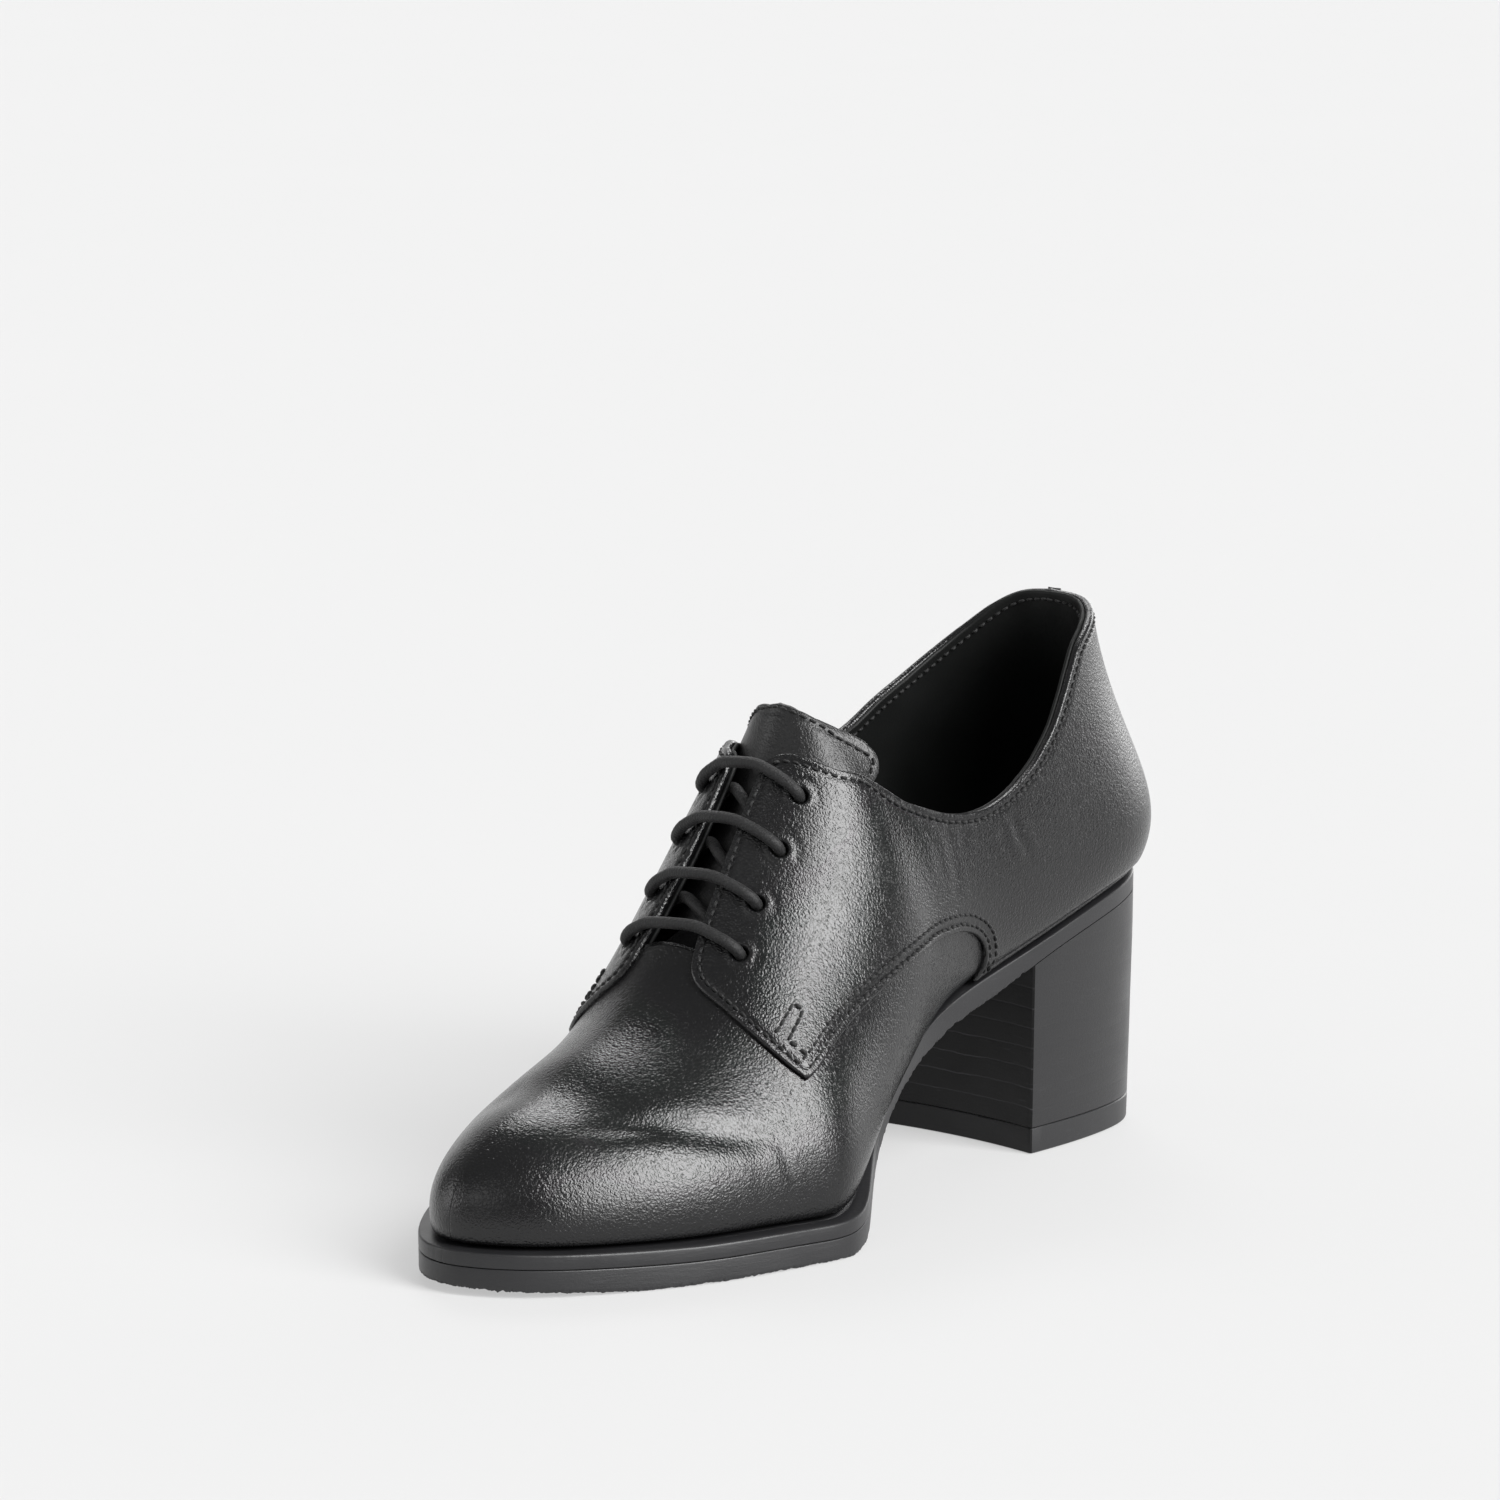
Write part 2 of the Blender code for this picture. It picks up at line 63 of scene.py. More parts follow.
SOLE_OUTLINE = [
    # u, inner, outer
    (0, 0, 0), (5, 15.5, 15.5), (15, 24.5, 24.5), (30, 28.4, 28.4), (50, 28.9, 28.9),
    (70, 27.4, 29.0), (88, 26.2, 29.9), (104, 27.6, 32.0), (120, 32.2, 34.6), (134, 38.6, 37.0),
    (145, 46.0, 38.9), (152, 50.4, 39.9), (159, 52.6, 40.6), (168, 51.6, 40.9), (180, 48.6, 39.9),
    (195, 43.9, 36.9), (210, 36.6, 30.8), (222, 29.2, 23.0), (231, 22.0, 15.8), (238, 13.0, 8.4),
    (SOLE_LENGTH, TOE_X, -TOE_X),
]
SEAT = [
    # u, z
    (0, 65), (14, 63), (35, 59), (57, 53), (75, 47.7), (90, 42.8), (105, 36.3), (120, 28.6),
    (134, 20.2), (146, 12.8), (156, 9.6), (175, 9.0), (200, 9.2), (220, 9.7), (SOLE_LENGTH, 10.4),
]
TREAD = [
    # u, z
    (0, 60.3), (35, 54.4), (57, 48.2), (75, 41.5), (90, 36.6), (105, 30.2), (120, 22.2), (134, 12.6),
    (146, 4.0), (154, 0.7), (162, -0.3), (185, -0.8), (205, -0.3), (218, 0.3), (SOLE_LENGTH, 1.8),
]
UPPER_INSET = [
    # u, inset
    (0, 1.0), (60, 0.8), (90, -0.5), (110, -2.2), (125, -2.0), (140, 0.5), (152, 3.0), (165, 4.0),
    (200, 4.0), (225, 3.2), (SOLE_LENGTH, 3.0),
]
LAST = [
    # u, top_in, top_out, top_u, top_z, bulge_in, bulge_out, rise, fan_deg, reach_in, reach_out, drop
    (-10, -10.5, 10.5, 19.5, 138, 15, 15, 17, -132, 2, 2, 36),
    (0, 0, 0, 18, 138, 20, 20, 17, -90, 1, 1, 36),
    (10, 10.5, -10.5, 19.5, 138, 15, 15, 17, -48, 2, 2, 36),
    (25, 18, -18, 28, 137, 10, 10, 17, -18, 2, 2, 32),
    (45, 22.5, -22.5, 47, 134, 7, 7, 16, 0, 2, 2, 28),
    (62, 21.5, -21.5, 69, 131, 8, 7, 18, 4, 4, 4, 28),
    (78, 17.5, -17.5, 88, 129, 10, 8, 22, 8, 8, 7, 28),
    (92, 11, -10, 105, 127, 12, 9, 26, 10, 14, 12, 24),
    (104, 4, -2, 119, 124, 13, 10, 28, 5, 20, 16, 12),
    (112, 1, 1, 126, 119, 13, 10, 28, 0, 23, 16, 4),
    (122, 1, 1, 135, 107, 12, 10, 28, 0, 25, 16, 2),
    (133, 1, 1, 144.5, 93, 11, 9, 28, 0, 26, 16, 1),
    (145, 1, 1, 155, 78.5, 9, 8, 28, 0, 26, 16, 1),
    (158, 1.2, 1.2, 165.5, 64.5, 7, 6, 27, 0, 25, 16, 1),
    (172, 1.4, 1.4, 175.5, 54.8, 5, 3.5, 25, 0, 23, 13, 1),
    (188, 1.5, 1.5, 184.5, 49.2, 4.5, 2, 23, 8, 21, 11.5, .8),
    (204, 1.5, 1.5, 192.5, 46, 4.5, 1.5, 21, 22, 18, 11, .5),
    (220, 1.5, 1.5, 199, 43.4, 4.5, 2.5, 19, 45, 16, 12, .2),
    (232, 1.5, 1.5, 203.5, 41.6, 4.5, 4, 18, 70, 15, 13.5, 0),
    (SOLE_LENGTH, 1.5, 1.5, 208, 39.8, 4.5, 4.5, 18, 90, 13.5, 13.5, 0),
]
TOE_SLOPE = -0.4
RIDGE_START = (97, 111.6)
# Quarter outline on each side, from the front corner round the facing and the collar to the back seam
FACING_AND_COLLAR = {
    1: [  # u, share
        (160.7, .411), (162.2, .456), (163.3, .510), (164.1, .580), (164.3, .640), (163.9, .736), (163.1, .815),
        (161.7, .857), (159.2, .886), (153.2, .909), (144.1, .922), (137, .931), (129.5, .938), (124.6, .936),
        (122.5, .929), (120.8, .906), (119.2, .865), (118.0, .815), (114.7, .720), (109.5, .664), (105.2, .630),
        (99.2, .595), (92.3, .571), (85.1, .549), (77.3, .537), (70.3, .545), (63, .571), (55.5, .618), (49.5, .677),
        (44.9, .742), (40.5, .806), (35.9, .857), (29, .888), (20, .912), (10, .932), (0, .943)],
    -1: [
        (160.7, .411), (162.2, .456), (163.3, .510), (164.1, .580), (164.3, .640), (164.0, .705), (163.1, .765),
        (161.5, .797), (159.0, .822), (153.2, .850), (147.4, .872), (138.7, .898), (132.5, .905), (125.0, .905),
        (122.9, .898), (120.8, .873), (118.6, .825), (117.0, .785), (112.5, .735), (103, .675), (92.3, .630),
        (84, .612), (76, .612), (68, .625), (59.1, .651), (51.6, .691), (42.7, .732), (33.7, .782), (24.9, .837),
        (16.3, .893), (8, .928), (0, .943)],
}
# Lower edge of the quarter, from the sole at the heel breast to the front corner
LOWER_EDGE = [
    # u, share
    (81.4, .0), (80.9, .055), (81.0, .099), (82.4, .151), (85.6, .195), (91.5, .232), (99, .249), (110.9, .273),
    (121, .308), (129.4, .345), (137, .379), (144.4, .406), (150.3, .416), (157.4, .412), (160.7, .411),
]
VAMP_THROAT = 155.5
TONGUE_EDGE = [
    # share, u: from the middle of the top edge down one side
    (1.0, 112.0), (.942, 111.3), (.895, 109.9), (.852, 107.7), (.802, 103.4), (.759, 98.9), (.728, 97.6), (.700, 97.9),
    (.666, 99.8), (.640, 103.0), (.630, 108.0), (.640, 125.0), (.680, 150.0),
]
EYELETS = [
    # u, share on the inner side, share on the outer side
    (152.1, .767, .715), (143.1, .784, .735), (133.3, .786, .750), (123.7, .792, .760),
]


# ------------------------------------------------------------------ the last, as arrays
class Spline:
    """Natural cubic spline through a table's first column and one other."""

    def __init__(self, rows, column=1, at=None):
        self.x = np.array([r[0] for r in rows] if at is None else at, float)
        self.y = np.array([r[column] for r in rows], float)
        n, self.h = len(self.x), np.diff(self.x)
        h, y = self.h, self.y
        a, r = np.eye(n), np.zeros(n)
        for i in range(1, n - 1):
            a[i, i - 1:i + 2] = h[i - 1], 2 * (h[i - 1] + h[i]), h[i]
            r[i] = 6 * ((y[i + 1] - y[i]) / h[i] - (y[i] - y[i - 1]) / h[i - 1])
        self.m = np.linalg.solve(a, r)

    def __call__(self, x):
        x = np.asarray(x, float)
        i = np.clip(np.searchsorted(self.x, x) - 1, 0, len(self.x) - 2)
        t, w, m = x - self.x[i], self.h[i], self.m
        slope = (self.y[i + 1] - self.y[i]) / w - w * (2 * m[i] + m[i + 1]) / 6
        return ((m[i + 1] - m[i]) / (6 * w) * t + m[i] / 2) * t * t + slope * t + self.y[i]


def turn(u):
    u = np.asarray(u, float)
    return np.copysign(np.arccos(np.clip(1 - 2 * np.abs(u) / SOLE_LENGTH, -1, 1)), u)


def along(phi):
    return SOLE_LENGTH * (1 - np.cos(phi)) / 2


def smooth(t):
    t = np.clip(t, 0, 1)
    return t * t * (3 - 2 * t)


_turns = [float(turn(r[0])) for r in SOLE_OUTLINE]
edge_in = Spline(SOLE_OUTLINE, 1, _turns)
edge_out = Spline([(r[0], r[1], -r[2]) for r in SOLE_OUTLINE], 2, _turns)
seat, tread_line, upper_inset = Spline(SEAT), Spline(TREAD), Spline(UPPER_INSET)
_rows = [float(turn(r[0])) for r in LAST]
_last = [Spline(LAST, c, _rows) for c in range(1, 12)]


def tread(u):
    return np.maximum(0.0, tread_line(u))


def sole_x(side, phi):
    return np.where(np.asarray(side) > 0, edge_in(phi), edge_out(phi))


def edge_normal(side, phi):
    e = 1e-3
    lo, hi = np.maximum(phi - e, 0), np.minimum(phi + e, math.pi)
    dx, du = sole_x(side, hi) - sole_x(side, lo), along(hi) - along(lo)
    length = np.hypot(dx, du)
    return side * du / length, -side * dx / length


def inside_edge(side, phi, inset):
    nx, nu = edge_normal(side, phi)
    return sole_x(side, phi) - nx * inset, along(phi) - nu * inset


def last_point(side, phi, share):
    side, phi, s = np.broadcast_arrays(np.asarray(side, float), np.asarray(phi, float), np.asarray(share, float))
    nx, nu = edge_normal(side, phi)
    u = along(phi)
    inset = upper_inset(u)
    foot = np.stack([sole_x(side, phi) - nx * inset, u - nu * inset, seat(u) + GAP], -1)
    top_in, top_out, top_u, top_z, bulge_in, bulge_out, rise, fan, reach_in, reach_out, drop = [f(phi) for f in _last]
    a, b = float(turn(RIDGE_START[0])), float(turn(RIDGE_START[1]))
    ridge = smooth((phi - a) / (b - a))
    bulge, reach = np.where(side > 0, bulge_in, bulge_out), np.where(side > 0, reach_in, reach_out)
    mx, mu = side * np.cos(np.radians(fan)), np.sin(np.radians(fan))
    top = np.stack([(top_in + top_out) / 2 + side * (top_in - top_out) / 2 * (1 - ridge), top_u, top_z], -1)
    low = foot + np.stack([bulge * nx, bulge * nu, rise], -1)
    high = top + np.stack([reach * mx, reach * mu, reach * mu * TOE_SLOPE * ridge - drop], -1)
    s = s[..., None]
    return (1 - s) ** 3 * foot + 3 * (1 - s) ** 2 * s * low + 3 * (1 - s) * s * s * high + s ** 3 * top


def raw_normal(side, phi, share):
    e = 2e-3
    phi = np.clip(phi, 2 * e, math.pi - 2 * e)
    a = last_point(side, phi + e, share) - last_point(side, phi - e, share)
    b = last_point(side, phi, np.minimum(share + e, 1)) - last_point(side, phi, np.maximum(share - e, 0))
    n = np.cross(a, b) * np.asarray(side, float)[..., None]
    return n / np.maximum(np.linalg.norm(n, axis=-1, keepdims=True), 1e-12)


def unit(v):
    return v / np.maximum(np.linalg.norm(v, axis=-1, keepdims=True), 1e-12)


def surface(side, phi, share):
    """Points of the last and its outward normals, in design mm."""
    side, phi, share = np.broadcast_arrays(np.asarray(side, float), np.asarray(phi, float), np.asarray(share, float))
    p = last_point(side, phi, share)
    n = raw_normal(side, phi, share)
    w = smooth((share - .88) / .12) * (phi > float(turn(106)))
    n = unit(n + w[..., None] * raw_normal(-side, phi, share))
    n = n.copy()
    n[..., 0] *= np.clip(np.minimum(phi, math.pi - phi) / 0.06, 0, 1)
    return p, unit(n)


def row_frame(p):
    """Design points (x, u, z) in mm to the shared frame in metres."""
    p = np.asarray(p, float)
    return np.stack([(p[..., 0] - ORIGIN_X) * MM, (ORIGIN_U - p[..., 1]) * MM, p[..., 2] * MM], -1)


def row_dir(n):
    n = np.asarray(n, float)
    return np.stack([n[..., 0], -n[..., 1], n[..., 2]], -1)


# ------------------------------------------------------------------ soft relief of the leather
CREASES = [
    # side, u and share at one end, u and share at the other, depth, half width, all in mm
    (1, 89.0, .545, 92.5, .300, .09, 1.5),
    (1, 94.0, .520, 96.5, .360, .07, 1.3),
    (1, 84.5, .530, 87.0, .380, .07, 1.4),
    (1, 68.0, .520, 64.0, .330, .16, 1.3),
    (1, 72.5, .500, 70.0, .380, .08, 1.2),
    (1, 174.5, .290, 173.5, .020, .16, 1.3),
    (1, 181.0, .300, 183.0, .080, .06, 1.8),
    (-1, 176.0, .330, 174.0, .050, .20, 1.8),
    (-1, 92.0, .560, 95.0, .320, .22, 1.8),
]


def relief(side, phi, share, p):
    """How far the leather stands off the plain last: flex creases and the edge of the toe puff."""
    u = along(phi)
    out = np.zeros(np.shape(u))
    for cs, u0, s0, u1, s1, depth, width in CREASES:
        t = (share - s0) / (s1 - s0)
        wiggle = 0.8 * np.sin(7 * t + u0) * np.clip(t, 0, 1)
        du = u - (u0 + (u1 - u0) * t) - wiggle
        fade = smooth(t / .25) * smooth((1 - t) / .3)
        shape = -np.exp(-(du / width) ** 2) + 0.45 * np.exp(-((np.abs(du) - 2.1 * width) / width) ** 2)
        out = out + np.where(side == cs, depth * fade * shape, 0)
    # the leather is drawn in to the feather edge, which leaves a groove over the sole at the heel and the waist
    out = out - 1.3 * np.exp(-(np.maximum(share, 0) / .042) ** 2) * smooth((165 - u) / 40)
    # the flex hollow behind the toe puff and the puff's own low crown
    over = smooth((share - .40) / .25)
    pu = p[..., 1]
    out = out - 1.25 * over * np.exp(-((pu - 206) / 8.0) ** 2) + 0.45 * over * np.exp(-((pu - 222) / 8.0) ** 2)
    # shallow hollow that runs from the vamp's top to the ball on the inner side
    line = 207.8 + 117 * (share - .535)
    out = out - np.where(side > 0, 0.95 * np.exp(-((u - line) / 9.0) ** 2) * smooth((share - .22) / .14)
                         * smooth((.64 - share) / .15), 0)
    return out


# ------------------------------------------------------------------ mesh helpers
rng = np.random.default_rng(38)


def mesh_object(name, verts, faces, mat, smooth_shade=True):
    """Mesh out of design points in mm."""
    me = bpy.data.meshes.new(name)
    me.from_pydata([tuple(v) for v in row_frame(verts)], [], [tuple(int(i) for i in f) for f in faces])
    me.materials.append(mat)
    if smooth_shade:
        me.polygons.foreach_set("use_smooth", [True] * len(me.polygons))
    me.update()
    ob = bpy.data.objects.new(name, me)
    bpy.context.scene.collection.objects.link(ob)
    return ob


def face_out(ob):
    bm = bmesh.new()
    bm.from_mesh(ob.data)
    bmesh.ops.remove_doubles(bm, verts=bm.verts, dist=1e-6)
    bmesh.ops.dissolve_degenerate(bm, dist=1e-7, edges=bm.edges)
    bmesh.ops.recalc_face_normals(bm, faces=bm.faces)
    bm.to_mesh(ob.data)
    bm.free()
    ob.data.polygons.foreach_set("use_smooth", [True] * len(ob.data.polygons))
    ob.data.update()
    return ob


def smooth_path(points, step):
    """Evenly spaced points on a smooth curve through the given ones."""
    p = np.asarray(points, float)
    d = np.maximum(np.linalg.norm(np.diff(p, axis=0), axis=1), 1e-6)
    t = np.concatenate([[0], np.cumsum(np.sqrt(d))])
    h = np.diff(t)
    s = np.diff(p, axis=0) / h[:, None]
    m = np.empty_like(p)
    m[0], m[-1] = s[0], s[-1]
    m[1:-1] = (s[:-1] * h[1:, None] + s[1:] * h[:-1, None]) / (h[:-1] + h[1:])[:, None]
    tt = np.concatenate([np.linspace(t[i], t[i + 1], 24, endpoint=False) for i in range(len(h))] + [[t[-1]]])
    i = np.clip(np.searchsorted(t, tt, side="right") - 1, 0, len(h) - 1)
    q, w = ((tt - t[i]) / h[i])[:, None], h[i][:, None]
    fine = ((2 * q ** 3 - 3 * q ** 2 + 1) * p[i] + (q ** 3 - 2 * q ** 2 + q) * w * m[i]
            + (-2 * q ** 3 + 3 * q ** 2) * p[i + 1] + (q ** 3 - q ** 2) * w * m[i + 1])
    return even(fine, step)


def even(points, step):
    d = np.concatenate([[0], np.cumsum(np.linalg.norm(np.diff(points, axis=0), axis=1))])
    n = max(2, int(round(d[-1] / step)) + 1)
    at = np.linspace(0, d[-1], n)
    return np.stack([np.interp(at, d, points[:, k]) for k in range(points.shape[1])], 1)


def in_polygon(poly, pts):
    inside = np.zeros(len(pts), bool)
    x0, y0 = poly[:, 0], poly[:, 1]
    x1, y1 = np.roll(x0, -1), np.roll(y0, -1)
    for a in range(0, len(pts), 4000):
        x, y = pts[a:a + 4000, 0][:, None], pts[a:a + 4000, 1][:, None]
        cross = (y0 > y) != (y1 > y)
        with np.errstate(divide="ignore", invalid="ignore"):
            at = x0 + (y - y0) / (y1 - y0) * (x1 - x0)
        inside[a:a + 4000] = (np.sum(cross & (x < at), axis=1) % 2) == 1
    return inside


def from_polygon(poly, pts):
    """Distance of points to a closed polygon's edge."""
    out = np.empty(len(pts))
    a, b = poly, np.roll(poly, -1, axis=0)
    ab = b - a
    den = np.maximum((ab ** 2).sum(1), 1e-12)
    for k in range(0, len(pts), 3000):
        p = pts[k:k + 3000][:, None, :]
        t = np.clip(((p - a) * ab).sum(2) / den, 0, 1)
        out[k:k + 3000] = np.sqrt(((a + t[..., None] * ab - p) ** 2).sum(2).min(1))
    return out


def triangulated(outer, holes, rings, spacing):
    """Flat panel: points, triangles and which points lie on an edge."""
    loops = [outer] + holes
    pts = [np.asarray(l) for l in loops]
    edges, base = [], 0
    for l in loops:
        n = len(l)
        edges += [(base + i, base + (i + 1) % n) for i in range(n)]
        base += n
    extra = []
    for k, l in enumerate(loops):
        a, b = np.roll(l, 1, axis=0), np.roll(l, -1, axis=0)
        t = unit(b - a)
        area = np.sum(l[:, 0] * np.roll(l[:, 1], -1) - np.roll(l[:, 0], -1) * l[:, 1])
        n = np.stack([-t[:, 1], t[:, 0]], 1) * (1 if (area > 0) == (k == 0) else -1)
        for r in rings if k == 0 else rings[:5]:
            extra.append((l + n * r, r))
    grid_x = np.arange(outer[:, 0].min(), outer[:, 0].max(), spacing)
    grid_y = np.arange(outer[:, 1].min(), outer[:, 1].max(), spacing * .866)
    gx, gy = np.meshgrid(grid_x, grid_y)
    gx = gx + (np.arange(len(grid_y)) % 2)[:, None] * spacing / 2
    extra.append((np.stack([gx.ravel(), gy.ravel()], 1), rings[-1] + spacing * .55))
    kept = []
    for cloud, least in extra:
        ok = in_polygon(outer, cloud)
        ok[ok] = from_polygon(outer, cloud[ok]) > least * .93
        for h in holes:
            near = np.zeros(len(cloud), bool)
            near[ok] = in_polygon(h, cloud[ok]) | (from_polygon(h, cloud[ok]) < min(least, rings[4] + spacing * .3) * .93)
            ok &= ~near
        kept.append(cloud[ok])
    every = np.concatenate(pts + kept)
    verts, _, faces, orig, _, _ = delaunay_2d_cdt([Vector(p) for p in every], edges, [], 0, 1e-5)
    verts = np.array([tuple(v) for v in verts])
    on_edge = np.array([any(i < base for i in o) for o in orig])
    faces = np.array([f for f in faces if len(f) == 3])
    middle = verts[faces].mean(1)
    ok = in_polygon(outer, middle)
    for h in holes:
        ok &= ~in_polygon(h, middle)
    return verts, faces[ok], on_edge


def nearest_distance(points, targets):
    tree = KDTree(len(targets))
    for i, t in enumerate(targets):
        tree.insert(t, i)
    tree.balance()
    return np.array([tree.find(p)[2] for p in points])


def rounded(d, r):
    """Rises from 0 at an edge to 1 at a distance r, on a quarter circle."""
    x = np.clip(d / r, 0, 1)
    return np.sqrt(np.maximum(1 - (1 - x) ** 2, 0))


def drawn_smooth(p, n, tris, fixed, rounds, back=-.57):
    """Leather drawn over the last evens out its small hollows: smoothing that keeps the size."""
    pairs = np.unique(np.sort(np.concatenate([tris[:, [0, 1]], tris[:, [1, 2]], tris[:, [2, 0]]]), axis=1), axis=0)
    a, b = pairs[:, 0], pairs[:, 1]
    count = np.maximum(np.bincount(np.concatenate([a, b]), minlength=len(p)), 1)[:, None]
    p = p.copy()
    for k in range(2 * rounds):
        total = np.stack([np.bincount(np.concatenate([a, b]), np.concatenate([p[b, c], p[a, c]]), len(p)) for c in range(3)], 1)
        move = (total / count - p) * (.55 if k % 2 == 0 else back)
        move[fixed] = 0
        p = p + move
    face = np.cross(p[tris[:, 1]] - p[tris[:, 0]], p[tris[:, 2]] - p[tris[:, 0]])
    face = face * np.sign((face * n[tris].sum(1)).sum(1))[:, None]
    out = np.stack([sum(np.bincount(tris[:, k], face[:, c], len(p)) for k in range(3)) for c in range(3)], 1)
    return p, unit(unit(out) + .0001 * n)


class Panel:
    """A leather panel of real thickness over the last, cut to a flat outline, with rounded edges."""

    def __init__(self, name, flat, to_last, top, low, mat, lift=None, ease=0, ease_back=-.57):
        pts, tris, on_edge = flat
        side, phi, share = to_last(pts)
        self.p, self.n = surface(side, phi, share)
        if lift is not None:
            self.p = self.p + lift(side, phi, share, self.p)[:, None] * self.n
        if ease:
            self.p, self.n = drawn_smooth(self.p, self.n, tris, on_edge, ease, ease_back)
        d = nearest_distance(self.p, self.p[on_edge])
        d[on_edge] = 0
        bump = relief(side, phi, share, self.p)
        hi, lo = top(d, side, phi, share) + bump, low(d, side, phi, share) + bump
        outer = self.p + self.n * hi[:, None]
        inner = self.p + self.n * lo[:, None]
        edge_mid = (outer + inner) / 2
        outer[on_edge] = edge_mid[on_edge]
        count = len(pts)
        under = np.arange(count) + count
        under[on_edge] = np.arange(count)[on_edge]
        a, b, c = (self.p[tris[:, k]] for k in range(3))
        flip = (np.cross(b - a, c - a) * self.n[tris[:, 0]]).sum(1)
        flip = -flip      # the shared frame mirrors the design's u
        tri = np.where((flip < 0)[:, None], tris[:, ::-1], tris)
        faces = np.concatenate([tri, under[tri[:, ::-1]]])
        verts = np.concatenate([outer, inner])
        used = np.unique(faces)
        remap = -np.ones(len(verts), int)
        remap[used] = np.arange(len(used))
        self.object = mesh_object(name, verts[used], remap[faces], mat)
        self.tree = BVHTree.FromPolygons([Vector(v) for v in outer], [tuple(int(i) for i in t) for t in tri])
        self.low_tree = BVHTree.FromPolygons([Vector(v) for v in inner], [tuple(int(i) for i in t) for t in tri])

    def on_top(self, point):
        loc, nor, _, _ = self.tree.find_nearest(Vector(point))
        return np.array(loc)

    def on_low(self, point):
        loc, nor, _, _ = self.low_tree.find_nearest(Vector(point))
        return np.array(loc)


# ------------------------------------------------------------------ materials
def new_material(name):
    m = bpy.data.materials.new(name)
    m.use_nodes = True
    return m, m.node_tree.nodes, m.node_tree.links, m.node_tree.nodes["Principled BSDF"]


def node(nodes, kind, **values):
    n = nodes.new(kind)
    for key, value in values.items():
        if key in n.inputs:
            n.inputs[key].default_value = value
        else:
            setattr(n, key, value)
    return n


def object_coords(nodes, links, scale=(1, 1, 1)):
    coord = nodes.new("ShaderNodeTexCoord")
    mapping = nodes.new("ShaderNodeMapping")
    mapping.inputs["Scale"].default_value = scale
    links.new(coord.outputs["Object"], mapping.inputs["Vector"])
    return mapping.outputs["Vector"]


def remap(nodes, links, value, a, b, low, high):
    n = nodes.new("ShaderNodeMapRange")
    for key, v in (("From Min", a), ("From Max", b), ("To Min", low), ("To Max", high)):
        n.inputs[key].default_value = v
    links.new(value, n.inputs["Value"])
    return n.outputs["Result"]


def mix_colour(nodes, links, factor, a, b):
    n = nodes.new("ShaderNodeMix")
    n.data_type = "RGBA"
    n.inputs["A"].default_value = (*a, 1) if len(a) == 3 else a
    n.inputs["B"].default_value = (*b, 1) if len(b) == 3 else b
    links.new(factor, n.inputs["Factor"])
    return n.outputs["Result"]


def math_node(nodes, links, operation, a, b):
    n = nodes.new("ShaderNodeMath")
    n.operation = operation
    for k, v in enumerate((a, b)):
        if isinstance(v, (int, float)):
            n.inputs[k].default_value = v
        else:
            links.new(v, n.inputs[k])
    return n.outputs["Value"]


def calf(name, tone, rough, cells=1200, grain=.55, deep=.00022, coat=.0):
    """Black calf: fine drawn grain, pores, soft changes of gloss."""
    m, nodes, links, shader = new_material(name)
    at = object_coords(nodes, links)
    warp = node(nodes, "ShaderNodeTexNoise", Scale=420.0, Detail=2.0)
    links.new(at, warp.inputs["Vector"])
    add = node(nodes, "ShaderNodeMixRGB", blend_type="ADD", Fac=.0011)
    links.new(at, add.inputs["Color1"])
    links.new(warp.outputs["Color"], add.inputs["Color2"])
    cell = node(nodes, "ShaderNodeTexVoronoi", feature="DISTANCE_TO_EDGE", Scale=float(cells), Randomness=1.0)
    links.new(add.outputs["Color"], cell.inputs["Vector"])
    lines = remap(nodes, links, cell.outputs["Distance"], 0.0, .32, 0.0, 1.0)
    fine = node(nodes, "ShaderNodeTexNoise", Scale=3200.0, Detail=2.0, Roughness=.6)
    links.new(at, fine.inputs["Vector"])
    mid = node(nodes, "ShaderNodeTexNoise", Scale=float(cells) * 1.05, Detail=1.5, Roughness=.5, Distortion=.6)
    links.new(at, mid.inputs["Vector"])
    height = math_node(nodes, links, "ADD", math_node(nodes, links, "MULTIPLY", lines, .28),
                       math_node(nodes, links, "ADD", math_node(nodes, links, "MULTIPLY", fine.outputs["Fac"], .18),
                                 math_node(nodes, links, "MULTIPLY", mid.outputs["Fac"], 1.0)))
    bump = node(nodes, "ShaderNodeBump", Strength=grain, Distance=deep)
    links.new(height, bump.inputs["Height"])
    broad = node(nodes, "ShaderNodeTexNoise", Scale=38.0, Detail=3.0)
    links.new(at, broad.inputs["Vector"])
    links.new(bump.outputs["Normal"], shader.inputs["Normal"])
    links.new(remap(nodes, links, broad.outputs["Fac"], .3, .7, rough - .05, rough + .06), shader.inputs["Roughness"])
    dark = tuple(c * .7 for c in tone)
    links.new(mix_colour(nodes, links, lines, dark, tone), shader.inputs["Base Color"])
    shader.inputs["Specular IOR Level"].default_value = .5
    shader.inputs["Coat Weight"].default_value = coat
    shader.inputs["Coat Roughness"].default_value = .32
    return m


